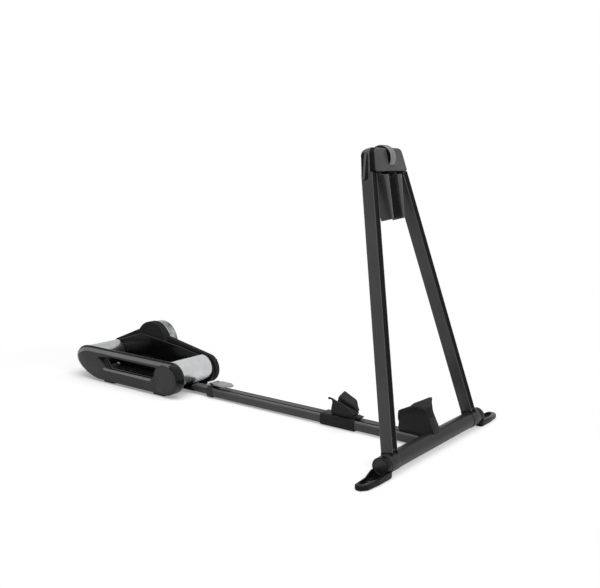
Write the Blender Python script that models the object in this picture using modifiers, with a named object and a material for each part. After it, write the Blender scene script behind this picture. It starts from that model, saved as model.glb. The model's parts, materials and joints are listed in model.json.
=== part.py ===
"""Wheel-on roller trainer for a bicycle, built as separate pieces in metres, +Z up.

+X points to the front, where the folding A-frame stands on its crossbar, and +Y points to the
bicycle's left, the side of the flywheel. The pieces are placed from the crossbar's axis, and
one shift puts the origin under the middle of the whole trainer, on the floor.
"""
import math

import bmesh
import bpy
from mathutils import Matrix, Vector

# Clearances, and how far a cutter runs past what it cuts
GAP = 0.0003
RUNNING_GAP = 0.0006
CUT_REACH = 0.060

# Crossbar and its two feet
CROSSBAR_RADIUS = 0.0238
CROSSBAR_WALL = 0.0028
CROSSBAR_AXIS_Z = 0.029
CROSSBAR_HALF = 0.2155
HINGE_RADIUS = 0.0162
HINGE_STUB_INSIDE = 0.030
AXLE_BORE = 0.004
KNUCKLE_WIDTH = 0.0415
KNUCKLE_RADIUS = 0.0252
FOOT_HUB_WIDTH = 0.0215
FOOT_HUB_RADIUS = 0.0247
FOOT_TIP_HALF_SPAN = 0.3855
FOOT_FRONT_X = 0.0275
FOOT_REAR_X = -0.0250
FOOT_TOE_REAR_X = -0.0105
FOOT_TOE_FRONT_X = 0.0100
FOOT_TOE_HEIGHT = 0.0135
FOOT_HEEL_HEIGHT = 0.0190
FOOT_SCOOP_DEPTH = 0.0058
SOLE_THICKNESS = 0.0030
SOLE_INSET = 0.0025
END_CAP_RADIUS = 0.0225
END_CAP_THICKNESS = 0.0025

# A-frame, measured along its own plane from the crossbar's axis
LEAN_DEG = 13.3
LEG_BASE_OFFSET = 0.0165
LEG_TOP_Y = 0.0665
HEAD_TOP = 0.832
LEG_DEPTH = 0.037
LEG_WIDTH = 0.026
LEG_WALL = 0.0030
LEG_CORNER = 0.0022
LEG_START = 0.0150
GROOVE_WIDTH = 0.0100
GROOVE_DEPTH = 0.0050
GROOVE_SHIFT = 0.0055
SPIGOT_LENGTH = 0.030

# Clamp head
HEAD_FRONT = 0.0275
HEAD_SPLIT = 0.0108
HEAD_WALL = 0.0030
HEAD_CORNER = 0.026
HEAD_TAPER = 0.006
COVER_INSET = 0.0115
COVER_DROP = 0.0055
COVER_LIFT = 0.0035
COVER_CORNER = 0.018
COVER_LOWER_CORNER = 0.006
HEAD_CAVITY_HALF = 0.060
CAVITY_CLEARANCE = 0.004
MOUTH_INSET = 0.004
EAR_DEPTH = 0.021
EAR_RISE = 0.0095
POCKET_LENGTH = 0.072
POCKET_WIDTH = 0.0170
POCKET_DEPTH = 0.0024
POCKET_DROP = 0.0045

# Thumb wheel, screw and clamp arms. A drop is a distance down the A-frame from the item above:
# head's top, wheel, arm pivots, and from the pivots to the head's floor, the shoulder and the tip
DIAL_DROP = 0.029
ARM_PIVOT_DROP = 0.028
HEAD_FLOOR_DROP = 0.018
ARM_SHOULDER_DROP = 0.023
ARM_TIP_DROP = 0.147
DIAL_RADIUS = 0.037
DIAL_WIDTH = 0.026
DIAL_RIM = 0.003
DIAL_OFFSET = 0.002
DIAL_CLEAR = 0.0015
SCREW_RADIUS = 0.0030
SCREW_SEAT = 0.006
ARM_PIVOT_Y = 0.040
ARM_PIN_RADIUS = 0.0030
ARM_FRONT = 0.0265
ARM_TIP_FRONT = 0.0180
ARM_REAR = -0.018
ARM_INNER_TOP = 0.0230
ARM_INNER_TIP = 0.0245
ARM_OUTER_TOP = 0.0475
ARM_OUTER_TIP = 0.0345
ARM_PAD_THICKNESS = 0.0020
ARM_PAD_INSET = 0.005
EAR_INNER_Y = 0.0300
EAR_OUTER_Y = 0.0500
NUT_RADIUS = 0.0062
NUT_LENGTH = 0.0070
NUT_CLEARANCE = 0.0006

# Telescoping rail
RAIL_WIDTH = 0.046
RAIL_BOTTOM = 0.0045
RAIL_TOP = 0.0355
RAIL_CORNER = 0.0070
RAIL_WALL = 0.0035
RAIL_REAR_X = -0.8655
COLLAR_FRONT_X = -0.842
COLLAR_GROW = 0.0028
INNER_RAIL_FRONT_X = -0.690
INNER_RAIL_STEP_X = -0.944
INNER_RAIL_REAR_X = -1.372
TONGUE_BOTTOM = 0.0095
TONGUE_THICKNESS = 0.0090
RAIL_SLIP = 0.0005

# Cam lever on the collar
LEVER_AXIS_X = -0.852
LEVER_AXIS_Z = 0.0460
LEVER_PIN_RADIUS = 0.0030
LEVER_LENGTH = 0.084
LEVER_WIDTH = 0.046
LEVER_THICKNESS = 0.0050
LEVER_EAR_WIDTH = 0.0060
LEVER_EAR_SPREAD = 0.0155
LEVER_BARREL_RADIUS = 0.0068

# Wheel cradles. Each station is (place along the rail, half width of the lip, height of the lip)
WHEEL_CENTRE_X = -0.191
WHEEL_RADIUS = 0.340
WHEEL_LOW_Z = 0.043
TROUGH_HALF = 0.0130
STEM_TOP_HALF = 0.0165
STEM_BASE_HALF = 0.0200
PLINTH_HALF = 0.0150
PLINTH_HEIGHT = 0.0065
CRADLE_WALL = 0.0035
CRADLE_NOSE_RISE = 0.016
FLARE_SHARE = 0.48
FRONT_CRADLE_STATIONS = ((-0.104, 0.0215, 0.0740), (-0.098, 0.0320, 0.0940), (-0.090, 0.0410, 0.1060),
                         (-0.066, 0.0490, 0.1190), (-0.040, 0.0560, 0.1315), (-0.026, 0.0330, 0.1275),
                         (-0.016, 0.0190, 0.1140))
FRONT_CRADLE_LEAN = 0.46
REAR_CRADLE_STATIONS = ((-0.264, 0.0215, 0.0590), (-0.272, 0.0260, 0.0690), (-0.283, 0.0345, 0.0830),
                        (-0.306, 0.0390, 0.0915), (-0.325, 0.0415, 0.0985), (-0.336, 0.0425, 0.1030))
REAR_CRADLE_LEAN = 0.13
SLEEVE_FRONT_X = -0.2550
SLEEVE_REAR_X = -0.380
SLEEVE_WALL = 0.0032
LATCH_LENGTH = 0.016
LATCH_SETBACK = 0.0040
LATCH_LUG_HALF = 0.0035
LATCH_LUG_WIDTH = 0.0030
LATCH_WIDTH = 0.024
LATCH_THICKNESS = 0.0040
LATCH_PIN_RADIUS = 0.0015

# Drums
DRUM_RADIUS = 0.0455
DRUM_WALL = 0.0030
DRUM_WEB = 0.0060
DRUM_RIGHT_Y = -0.0745
DRUM_LEFT_Y = 0.0760
FRONT_DRUM_X = -0.980
FRONT_DRUM_Z = 0.0705
REAR_DRUM_X = -1.4495
REAR_DRUM_Z = 0.0640
AXLE_RADIUS = 0.0060
BEARING_RADIUS = 0.0130
BEARING_WIDTH = 0.0080

# Right side frame of the roller unit
PLATE_THICKNESS = 0.0045
PLATE_GAP = 0.0015
SIDE_OUTER_Y = -0.119
SIDE_WALL = 0.0030
SIDE_TOP_Z = 0.117
SIDE_BOTTOM_Z = 0.0095
SIDE_FRONT_X = -0.9175
SIDE_REAR_X = -1.4990
SIDE_EDGE = 0.0040
NOSE_TOP_RUN = 0.0740
NOSE_SLANT = 0.0540
WINDOW_REAR_X = -1.3330
WINDOW_FRONT_X = -1.0040
WINDOW_TOP_Z = 0.1020
WINDOW_BOTTOM_Z = 0.0475
SILL_DEPTH = 0.0270
CAP_RADIUS = 0.0495
CAP_THICKNESS = 0.0035
CAP_RECESS = 0.0025

# Left housing with the belt drive
HOUSING_INNER_Y = 0.0775
HOUSING_SEAM_Y = 0.0905
HOUSING_OUTER_Y = 0.1105
HOUSING_WALL = 0.0027
HOUSING_BOTTOM_Z = 0.0120
HOUSING_END_RADIUS = 0.0515
INNER_DROP = 0.0090
APEX_X = -1.306
APEX_Z = 0.1766
HUMP_RADIUS = 0.0803
HUMP_INNER_Y = 0.0800

# Flywheel, belt and brake
FLYWHEEL_X = -1.2580
FLYWHEEL_Z = 0.1220
FLYWHEEL_RADIUS = 0.0775
FLYWHEEL_INNER_Y = 0.1118
FLYWHEEL_WIDTH = 0.0352
FLYWHEEL_WEB = 0.0120
FLYWHEEL_RIM = 0.0170
SHAFT_RADIUS = 0.0070
DRUM_PULLEY_RADIUS = 0.0180
FLYWHEEL_PULLEY_RADIUS = 0.0120
PULLEY_WIDTH = 0.0130
PULLEY_FLANGE = 0.0025
BELT_WIDTH = 0.0100
BELT_THICKNESS = 0.0020
BELT_Y = 0.0945
BRAKE_OUTER_RADIUS = 0.0680
BRAKE_INNER_RADIUS = 0.0360
BRAKE_THICKNESS = 0.0025
COIL_RADIUS = 0.0085
COIL_HEIGHT = 0.0035
COIL_COUNT = 8
BOARD_LENGTH = 0.070
BOARD_HEIGHT = 0.036
BOARD_THICKNESS = 0.0016
BOARD_SETBACK = 0.150
BOARD_DROP = 0.020
INLET_RADIUS = 0.0070
INLET_BORE = 0.0036
INLET_LENGTH = 0.010
INLET_PROUD = 0.001
INLET_FLOOR = 0.002
INLET_AHEAD = 0.048
INLET_RISE = 0.028

# Base of the roller unit
TRAY_THICKNESS = 0.0030
TRAY_FRONT_X = -1.000
TRAY_REAR_X = -1.485
PAD_LENGTH = 0.060
PAD_WIDTH = 0.017
FRONT_PAD_X = -1.017
REAR_PAD_X = -1.285

# Colours, roughness and metallic value of each finish
FINISHES = {
    "black_plastic": ((0.022, 0.023, 0.025), 0.48, 0.0),
    "gloss_black": ((0.012, 0.012, 0.014), 0.16, 0.0),
    "black_alloy": ((0.045, 0.047, 0.052), 0.36, 0.6),
    "rubber": ((0.016, 0.016, 0.017), 0.80, 0.0),
    "brushed_silver": ((0.74, 0.75, 0.76), 0.26, 1.0),
    "grey_alloy": ((0.42, 0.43, 0.45), 0.38, 0.9),
    "steel": ((0.55, 0.56, 0.58), 0.32, 1.0),
    "board_green": ((0.02, 0.12, 0.05), 0.45, 0.0),
}

# Values worked out from the driving dimensions
ORIGIN_SHIFT = -(FOOT_FRONT_X + SIDE_REAR_X) / 2
LEAN = math.radians(LEAN_DEG)
LEG_BASE_Y = CROSSBAR_HALF + LEG_BASE_OFFSET
DIAL_D = HEAD_TOP - DIAL_DROP
ARM_PIVOT_D = DIAL_D - ARM_PIVOT_DROP
HEAD_BOTTOM = ARM_PIVOT_D - HEAD_FLOOR_DROP
ARM_SHOULDER = ARM_PIVOT_D - ARM_SHOULDER_DROP
ARM_BOTTOM = ARM_PIVOT_D - ARM_TIP_DROP
EAR_TOP = DIAL_D + EAR_RISE
HEAD_CAVITY_TOP = EAR_TOP + CAVITY_CLEARANCE
COVER_TOP = HEAD_TOP - COVER_DROP
COVER_BOTTOM = HEAD_BOTTOM + COVER_LIFT
POCKET_CENTRE = (HEAD_TOP + HEAD_BOTTOM) / 2 - POCKET_DROP
LEG_ANGLE = math.atan2(LEG_BASE_Y - LEG_TOP_Y, HEAD_TOP)
KNUCKLE_INNER_Y = CROSSBAR_HALF + RUNNING_GAP
KNUCKLE_OUTER_Y = KNUCKLE_INNER_Y + KNUCKLE_WIDTH
HUB_INNER_Y = KNUCKLE_OUTER_Y + RUNNING_GAP
HUB_OUTER_Y = HUB_INNER_Y + FOOT_HUB_WIDTH
HEAD_REAR = -LEG_DEPTH / 2
SCREW_HALF = HEAD_CAVITY_HALF + SCREW_SEAT
PLATE_OUTER_Y = DRUM_RIGHT_Y - PLATE_GAP - PLATE_THICKNESS
SIDE_INNER_Y = PLATE_OUTER_Y - GAP
LEFT_PLATE_Y = HOUSING_INNER_Y + HOUSING_WALL + GAP
TONGUE_TOP = TONGUE_BOTTOM + TONGUE_THICKNESS
TRAY_TOP = TONGUE_BOTTOM - GAP


# Scene helpers

def clear_scene():
    for item in list(bpy.data.objects):
        bpy.data.objects.remove(item, do_unlink=True)


def new_collection(name):
    group = bpy.data.collections.new(name)
    bpy.context.scene.collection.children.link(group)
    return group


def finish_material(name):
    found = bpy.data.materials.get(name)
    if found:
        return found
    colour, roughness, metallic = FINISHES[name]
    material = bpy.data.materials.new(name)
    material.use_nodes = True
    shader = material.node_tree.nodes["Principled BSDF"]
    shader.inputs["Base Color"].default_value = (*colour, 1.0)
    shader.inputs["Roughness"].default_value = roughness
    shader.inputs["Metallic"].default_value = metallic
    material.diffuse_color = (*colour, 1.0)
    return material


def own_material(piece, finish):
    material = finish_material(finish).copy()
    material.name = piece.name + "_" + finish
    piece.data.materials.clear()
    piece.data.materials.append(material)


def empty(name, location, parent=None, rotation=(0.0, 0.0, 0.0)):
    marker = bpy.data.objects.new(name, None)
    marker.location = location
    marker.rotation_euler = rotation
    marker.parent = parent
    marker.empty_display_size = 0.03
    PARTS.objects.link(marker)
    return marker


def add_mesh(name, mesh, parent, finish=None, smooth_deg=32.0):
    """Link a mesh as a finished piece, or as a cutter when it has no finish."""
    piece = bpy.data.objects.new(name, mesh)
    piece.parent = parent
    if finish:
        PARTS.objects.link(piece)
        own_material(piece, finish)
    else:
        CUTTERS.objects.link(piece)
        piece.hide_render = True
        piece.display_type = "WIRE"
    mesh.shade_smooth()
    mesh.set_sharp_from_angle(angle=math.radians(smooth_deg))
    return piece


def mesh_from(build, name):
    """Make a mesh from a function that fills a bmesh."""
    bm = bmesh.new()
    build(bm)
    bmesh.ops.recalc_face_normals(bm, faces=bm.faces)
    mesh = bpy.data.meshes.new(name)
    bm.to_mesh(mesh)
    bm.free()
    return mesh


def cut(piece, cutter, operation="DIFFERENCE"):
    modifier = piece.modifiers.new(operation.lower() + "_" + cutter.name, "BOOLEAN")
    modifier.operation = operation
    modifier.object = cutter
    modifier.solver = "EXACT"


# Shape helpers

def box(name, low, high, parent, finish=None):
    size = [b - a for a, b in zip(low, high)]
    middle = [(a + b) / 2 for a, b in zip(low, high)]

    def build(bm):
        bmesh.ops.create_cube(bm, size=1.0)
        bmesh.ops.scale(bm, vec=size, verts=bm.verts)
        bmesh.ops.translate(bm, vec=middle, verts=bm.verts)

    return add_mesh(name, mesh_from(build, name), parent, finish)


def rod(name, radius, start, end, parent, finish=None, segments=28):
    """A solid round bar between two points."""
    start = Vector(start)
    end = Vector(end)
    turn = (end - start).to_track_quat("Z", "Y").to_matrix().to_4x4()

    def build(bm):
        bmesh.ops.create_cone(bm, cap_ends=True, segments=segments, radius1=radius,
                              radius2=radius, depth=(end - start).length)
        bmesh.ops.transform(bm, matrix=turn, verts=bm.verts)
        bmesh.ops.translate(bm, vec=(start + end) / 2, verts=bm.verts)

    return add_mesh(name, mesh_from(build, name), parent, finish)


def turned(name, profile, parent, finish=None, steps=48, along="Y"):
    """Turn a closed profile of (radius, distance) points about Y, X or Z with a Screw modifier."""
    mesh = bpy.data.meshes.new(name)
    points = [(radius, 0.0, distance) for radius, distance in profile]
    count = len(points)
    edges = [(i, (i + 1) % count) for i in range(count)]
    mesh.from_pydata(points, edges, [])
    piece = bpy.data.objects.new(name + "_profile", mesh)
    PARTS.objects.link(piece)
    screw = piece.modifiers.new("turned", "SCREW")
    screw.axis = "Z"
    screw.steps = steps
    screw.render_steps = steps
    screw.use_merge_vertices = True
    screw.merge_threshold = 0.00002
    solid = baked_mesh(piece, name)
    turn = {"Y": Matrix.Rotation(-math.pi / 2, 4, "X"), "X": Matrix.Rotation(math.pi / 2, 4, "Y"),
            "Z": Matrix.Identity(4)}[along]
    solid.transform(turn)
    return add_mesh(name, outward(solid), parent, finish)


def baked_mesh(piece, name):
    """Read a helper object as a mesh with its modifiers, and remove the helper."""
    bpy.context.view_layer.update()
    graph = bpy.context.evaluated_depsgraph_get()
    mesh = bpy.data.meshes.new_from_object(piece.evaluated_get(graph))
    mesh.name = name
    bpy.data.objects.remove(piece, do_unlink=True)
    return mesh


def outward(mesh):
    """Weld the seam of a closed mesh and point its faces out."""
    bm = bmesh.new()
    bm.from_mesh(mesh)
    bmesh.ops.remove_doubles(bm, verts=bm.verts, dist=0.00002)
    bmesh.ops.recalc_face_normals(bm, faces=bm.faces)
    bm.to_mesh(mesh)
    bm.free()
    return mesh


def ring_profile(inner, outer, start, end):
    return [(inner, end), (outer, end), (outer, start), (inner, start)]


def prism(name, loop, low, high, plane, parent, finish=None):
    """One outline without holes, extruded from low to high across the plane XY, XZ or YZ."""
    place = {"XY": lambda u, v, w: (u, v, w), "XZ": lambda u, v, w: (u, w, v),
             "YZ": lambda u, v, w: (w, u, v)}[plane]
    return loft(name, [[place(u, v, w) for u, v in loop] for w in (low, high)], parent, finish)


def plate(name, loops, low, high, plane, parent, finish=None):
    """Outlines extruded from low to high across a plane, where an inner outline is a hole."""
    if len(loops) == 1:
        return prism(name, loops[0], low, high, plane, parent, finish)
    curve = bpy.data.curves.new(name, "CURVE")
    curve.dimensions = "2D"
    curve.fill_mode = "BOTH"
    curve.extrude = (high - low) / 2
    for loop in loops:
        spline = curve.splines.new("POLY")
        spline.points.add(len(loop) - 1)
        spline.use_cyclic_u = True
        for point, (u, v) in zip(spline.points, loop):
            point.co = (u, v, 0.0, 1.0)
    helper = bpy.data.objects.new(name + "_outline", curve)
    PARTS.objects.link(helper)
    mesh = baked_mesh(helper, name)
    middle = (low + high) / 2
    turn = {"XY": Matrix.Identity(4), "XZ": Matrix.Rotation(math.pi / 2, 4, "X"),
            "YZ": Matrix(((0, 0, 1, 0), (1, 0, 0, 0), (0, 1, 0, 0), (0, 0, 0, 1)))}[plane]
    shift = {"XY": (0, 0, middle), "XZ": (0, middle, 0), "YZ": (middle, 0, 0)}[plane]
    mesh.transform(Matrix.Translation(shift) @ turn)
    return add_mesh(name, outward(mesh), parent, finish)


def loft(name, sections, parent, finish=None):
    """Join loops of equal length, given as (x, y, z) points, into one closed solid."""

    def build(bm):
        rings = [[bm.verts.new(point) for point in section] for section in sections]
        for ring, following in zip(rings, rings[1:]):
            count = len(ring)
            for i in range(count):
                j = (i + 1) % count
                bm.faces.new((ring[i], ring[j], following[j], following[i]))
        bm.faces.new(rings[0])
        bm.faces.new(rings[-1])

    return add_mesh(name, mesh_from(build, name), parent, finish)


def arc(centre, radius, start_deg, end_deg, count):
    """Points on an arc, both ends included."""
    points = []
    for i in range(count + 1):
        angle = math.radians(start_deg + (end_deg - start_deg) * i / count)
        points.append((centre[0] + radius * math.cos(angle), centre[1] + radius * math.sin(angle)))
    return points


def circle(centre, radius, count=32):
    return arc(centre, radius, 0.0, 360.0, count)[:-1]


def rounded_rectangle(low, high, radius, count=4):
    corners = (((high[0] - radius, high[1] - radius), 0), ((low[0] + radius, high[1] - radius), 90),
               ((low[0] + radius, low[1] + radius), 180), ((high[0] - radius, low[1] + radius), 270))
    points = []
    for centre, start in corners:
        points += arc(centre, radius, start, start + 90, count)
    return points


def rounded_polygon(corners, radii, count=5):
    """Round each corner of a convex or concave polygon with its own radius."""
    points = []
    total = len(corners)
    for i, (corner, radius) in enumerate(zip(corners, radii)):
        here = Vector(corner)
        back = (Vector(corners[i - 1]) - here).normalized()
        ahead = (Vector(corners[(i + 1) % total]) - here).normalized()
        if radius <= 0.0:
            points.append(tuple(here))
            continue
        half = back.angle(ahead) / 2
        start = here + back * radius / math.tan(half)
        end = here + ahead * radius / math.tan(half)
        centre = here + (back + ahead).normalized() * radius / math.sin(half)
        for k in range(count + 1):
            mixed = (start - centre).lerp(end - centre, k / count).normalized()
            points.append(tuple(centre + mixed * radius))
    return points


def hull_of_circles(circles, count=64):
    """The outline that a tight band takes round several circles."""
    samples = sorted({point for centre, radius in circles for point in circle(centre, radius, count)})

    def half_hull(ordered):
        chain = []
        for point in ordered:
            while len(chain) > 1:
                ax, az = chain[-2]
                bx, bz = chain[-1]
                if (bx - ax) * (point[1] - az) - (bz - az) * (point[0] - ax) > 0:
                    break
                chain.pop()
            chain.append(point)
        return chain[:-1]

    return half_hull(samples) + half_hull(samples[::-1])


def inset(loop, distance):
    """Move each point of a loop inwards, square to the outline, and drop those that fold over."""
    total = len(loop)
    area = sum(a[0] * b[1] - b[0] * a[1] for a, b in zip(loop, loop[1:] + loop[:1]))
    side = 1.0 if area > 0 else -1.0
    moved = []
    for i, point in enumerate(loop):
        here = Vector(point)
        back = (here - Vector(loop[i - 1])).normalized()
        ahead = (Vector(loop[(i + 1) % total]) - here).normalized()
        across = Vector((-(back + ahead).y, (back + ahead).x)).normalized()
        stretch = max(0.5, across.dot(Vector((-ahead.y, ahead.x))))
        moved.append(tuple(here + across * (side * distance / stretch)))
    return moved


def spin_profile(bm, profile, steps, matrix):
    """Turn a profile whose two ends lie on the axis, and add it to a bmesh as one closed solid."""
    low = bm.verts.new(matrix @ Vector((0.0, 0.0, profile[0][1])))
    high = bm.verts.new(matrix @ Vector((0.0, 0.0, profile[-1][1])))
    rings = []
    for radius, height in profile[1:-1]:
        ring = []
        for i in range(steps):
            angle = 2 * math.pi * i / steps
            point = Vector((radius * math.cos(angle), radius * math.sin(angle), height))
            ring.append(bm.verts.new(matrix @ point))
        rings.append(ring)
    for i in range(steps):
        j = (i + 1) % steps
        bm.faces.new((low, rings[0][j], rings[0][i]))
        bm.faces.new((high, rings[-1][i], rings[-1][j]))
        for ring, following in zip(rings, rings[1:]):
            bm.faces.new((ring[i], ring[j], following[j], following[i]))


# Crossbar, feet and rail: the front base

def side_name(side):
    return "left" if side > 0 else "right"


def crossbar(base):
    """The tube that joins the feet, with a bored stub axle welded into each end for the hinge."""
    axis = empty("crossbar_axis", (0.0, 0.0, CROSSBAR_AXIS_Z), base)
    inner = CROSSBAR_RADIUS - CROSSBAR_WALL
    inside = CROSSBAR_HALF - HINGE_STUB_INSIDE
    outside = HUB_OUTER_Y - 0.006
    left_half = [(inner, inside), (AXLE_BORE, inside), (AXLE_BORE, outside), (HINGE_RADIUS, outside),
                 (HINGE_RADIUS, CROSSBAR_HALF), (CROSSBAR_RADIUS, CROSSBAR_HALF)]
    right_half = [(radius, -y) for radius, y in left_half[::-1]]
    turned("crossbar_tube", left_half + right_half, axis, "black_alloy", steps=32)


def foot_outline(side):
    """The shoe seen from above: wide at the crossbar and drawn in to a rounded toe."""
    tip = FOOT_TIP_HALF_SPAN
    corners = [(FOOT_REAR_X, HUB_INNER_Y), (FOOT_REAR_X, HUB_OUTER_Y + 0.005),
               (FOOT_TOE_REAR_X, HUB_OUTER_Y + 0.055), (FOOT_TOE_REAR_X, tip), (FOOT_TOE_FRONT_X, tip),
               (FOOT_FRONT_X - 0.004, tip - 0.018), (FOOT_FRONT_X, tip - 0.062),
               (FOOT_FRONT_X, HUB_INNER_Y)]
    radii = [0.0, 0.015, 0.030, 0.008, 0.008, 0.010, 0.020, 0.010]
    return [(x, side * y) for x, y in rounded_polygon(corners, radii, 4)]


def foot(side, base):
    """A shoe with a round hub that closes the end of the crossbar."""
    name = side_name(side) + "_foot"
    outline = foot_outline(side)
    shoe = plate(name, [outline], SOLE_THICKNESS + GAP, FOOT_HEEL_HEIGHT, "XY", base, "black_plastic")
    slope_start = HUB_OUTER_Y + 0.002
    tip = FOOT_TIP_HALF_SPAN
    side_view = [(side * slope_start, FOOT_HEEL_HEIGHT + 0.001),
                 (side * (tip + 0.01), FOOT_TOE_HEIGHT - 0.001), (side * (tip + 0.01), 0.06),
                 (side * slope_start, 0.06)]
    slope = plate(name + "_slope_cutter", [side_view], -0.05, 0.05, "YZ", base)
    cut(shoe, slope)
    inner = HUB_OUTER_Y + 0.0004
    scoop = [(FOOT_REAR_X + 0.0045, side * inner), (FOOT_REAR_X + 0.0045, side * (HUB_OUTER_Y + 0.006)),
             (FOOT_TOE_REAR_X + 0.0040, side * (HUB_OUTER_Y + 0.054)),
             (FOOT_TOE_REAR_X + 0.0040, side * (tip - 0.014)),
             (FOOT_TOE_FRONT_X - 0.004, side * (tip - 0.014)),
             (FOOT_FRONT_X - 0.0075, side * (tip - 0.060)), (FOOT_FRONT_X - 0.0075, side * inner)]
    cut(shoe, plate(name + "_scoop", [scoop], FOOT_TOE_HEIGHT - FOOT_SCOOP_DEPTH, 0.05, "XY", base))
    hub = rod(name + "_hub", FOOT_HUB_RADIUS, (0.0, side * HUB_INNER_Y, CROSSBAR_AXIS_Z),
              (0.0, side * HUB_OUTER_Y, CROSSBAR_AXIS_Z), base, segments=32)
    floor = box(name + "_floor_cutter", (-0.06, min(0, side), -0.03),
                (0.06, max(0, side), SOLE_THICKNESS + GAP), base)
    cut(shoe, hub, "UNION")
    cut(shoe, floor)
    bore = rod(name + "_bore", HINGE_RADIUS + GAP, (0.0, side * (HUB_INNER_Y - 0.01), CROSSBAR_AXIS_Z),
               (0.0, side * (HUB_OUTER_Y - 0.0055), CROSSBAR_AXIS_Z), base)
    cut(shoe, bore)
    recess = rod(name + "_cap_recess", END_CAP_RADIUS + GAP,
                 (0.0, side * (HUB_OUTER_Y - END_CAP_THICKNESS - GAP), CROSSBAR_AXIS_Z),
                 (0.0, side * (HUB_OUTER_Y + 0.01), CROSSBAR_AXIS_Z), base)
    cut(shoe, recess)


def foot_trim(side, base):
    """The disc that caps the hub and the rubber sole."""
    rod(side_name(side) + "_end_cap", END_CAP_RADIUS,
        (0.0, side * (HUB_OUTER_Y - END_CAP_THICKNESS), CROSSBAR_AXIS_Z),
        (0.0, side * HUB_OUTER_Y, CROSSBAR_AXIS_Z), base, "black_alloy")
    plate(side_name(side) + "_foot_sole", [inset(foot_outline(side), SOLE_INSET)], 0.0, SOLE_THICKNESS,
          "XY", base, "rubber")


def rail_section(grow=0.0, radius=RAIL_CORNER):
    half = RAIL_WIDTH / 2 + grow
    return rounded_rectangle((-half, RAIL_BOTTOM - grow), (half, RAIL_TOP + grow), radius)


def front_rail(base):
    """The outer rail, a hollow extrusion from the crossbar back to the collar."""
    hole = rail_section(-RAIL_WALL, 0.003)
    rail = plate("front_rail", [rail_section(), hole], RAIL_REAR_X, 0.0, "YZ", base, "black_alloy")
    saddle = rod("rail_saddle_cutter", CROSSBAR_RADIUS + GAP, (0.0, -CUT_REACH, CROSSBAR_AXIS_Z),
                 (0.0, CUT_REACH, CROSSBAR_AXIS_Z), base)
    cut(rail, saddle)
    lip = box("rail_front_cutter", (-CROSSBAR_RADIUS * 0.72, -CUT_REACH, -CUT_REACH),
              (CUT_REACH, CUT_REACH, RAIL_TOP + CUT_REACH), base)
    cut(rail, lip)
    sleeve = rail_section(COLLAR_GROW, RAIL_CORNER + COLLAR_GROW)
    hole = rail_section(GAP, RAIL_CORNER)
    return plate("rail_collar", [sleeve, hole], RAIL_REAR_X, COLLAR_FRONT_X, "YZ", base, "black_plastic")


def lever_ears(collar, base):
    """Two ears on the collar that hold the lever's pin."""
    root = RAIL_TOP + COLLAR_GROW - 0.0015
    for side in (1, -1):
        low_y, high_y = sorted((side * LEVER_EAR_SPREAD, side * (LEVER_EAR_SPREAD + LEVER_EAR_WIDTH)))
        outline = [(LEVER_AXIS_X - 0.0085, root), (LEVER_AXIS_X + 0.0085, root)]
        outline += arc((LEVER_AXIS_X, LEVER_AXIS_Z), 0.0060, 0, 180, 6)
        ear = plate(side_name(side) + "_lever_ear", [outline], low_y, high_y, "XZ", base)
        cut(collar, ear, "UNION")
    hole = rod("lever_ear_hole", LEVER_PIN_RADIUS + GAP, (LEVER_AXIS_X, -0.05, LEVER_AXIS_Z),
               (LEVER_AXIS_X, 0.05, LEVER_AXIS_Z), base, segments=16)
    cut(collar, hole)


def cam_lever(base):
    """The quick-release lever that squeezes the collar: a barrel on a pin, with a flat handle."""
    axis = empty("cam_lever_axis", (LEVER_AXIS_X, 0.0, LEVER_AXIS_Z), base)
    half_pin = LEVER_EAR_SPREAD + LEVER_EAR_WIDTH + 0.001
    rod("lever_pin", LEVER_PIN_RADIUS, (0.0, -half_pin, 0.0), (0.0, half_pin, 0.0), axis, "steel", 16)
    half = LEVER_EAR_SPREAD - 0.0008
    lever = rod("cam_lever", LEVER_BARREL_RADIUS, (0.0, -half, 0.0), (0.0, half, 0.0), axis,
                "grey_alloy", 24)
    width = LEVER_WIDTH / 2
    start = LEVER_BARREL_RADIUS + 0.003
    corners = [(start, -half + 0.002), (start + 0.008, -width), (LEVER_LENGTH * 0.72, -width),
               (LEVER_LENGTH, -width * 0.35), (LEVER_LENGTH, width * 0.35),
               (LEVER_LENGTH * 0.72, width), (start + 0.008, width), (start, half - 0.002),
               (0.0, half - 0.002), (0.0, -half + 0.002)]
    radii = [0.0, 0.004, 0.010, 0.006, 0.006, 0.010, 0.004, 0.0, 0.0, 0.0]
    handle = plate("lever_handle", [rounded_polygon(corners, radii, 3)], LEVER_THICKNESS * 0.3,
                   LEVER_THICKNESS * 1.3, "XY", axis)
    cut(lever, handle, "UNION")
    bore = rod("lever_bore", LEVER_PIN_RADIUS + GAP, (0.0, -0.03, 0.0), (0.0, 0.03, 0.0), axis,
               segments=16)
    cut(lever, bore)


# Wheel cradles

def wheel_height(x):
    """Height of the tyre's lowest line at a place along the rail."""
    offset = x - WHEEL_CENTRE_X
    return WHEEL_LOW_Z + WHEEL_RADIUS - math.sqrt(WHEEL_RADIUS ** 2 - offset ** 2)


def cradle_sections(stations, lean, base_z):
    """Cross sections of a scoop: a narrow stem whose two lips flare out as it climbs."""
    sections = []
    first = stations[0][0]
    span = stations[-1][0] - first
    outward_x = 1.0 if span > 0 else -1.0
    for x, wing, top in stations:
        t = (x - first) / span
        root = wheel_height(x)
        flare = root + (top - root) * FLARE_SHARE
        stem = min(STEM_TOP_HALF, wing - 0.003)
        plinth = base_z + PLINTH_HEIGHT
        half_loop = [(PLINTH_HALF, base_z), (PLINTH_HALF, plinth), (STEM_BASE_HALF, plinth + 0.0002),
                     (stem, flare), (wing, top - CRADLE_WALL), (wing, top),
                     (TROUGH_HALF + 0.0005, flare + 0.0015), (TROUGH_HALF, root)]
        loop = half_loop + [(-y, z) for y, z in half_loop[::-1]]
        sections.append([(x + outward_x * lean * t * (top - z), y, z) for y, z in loop])
    return sections


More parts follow.
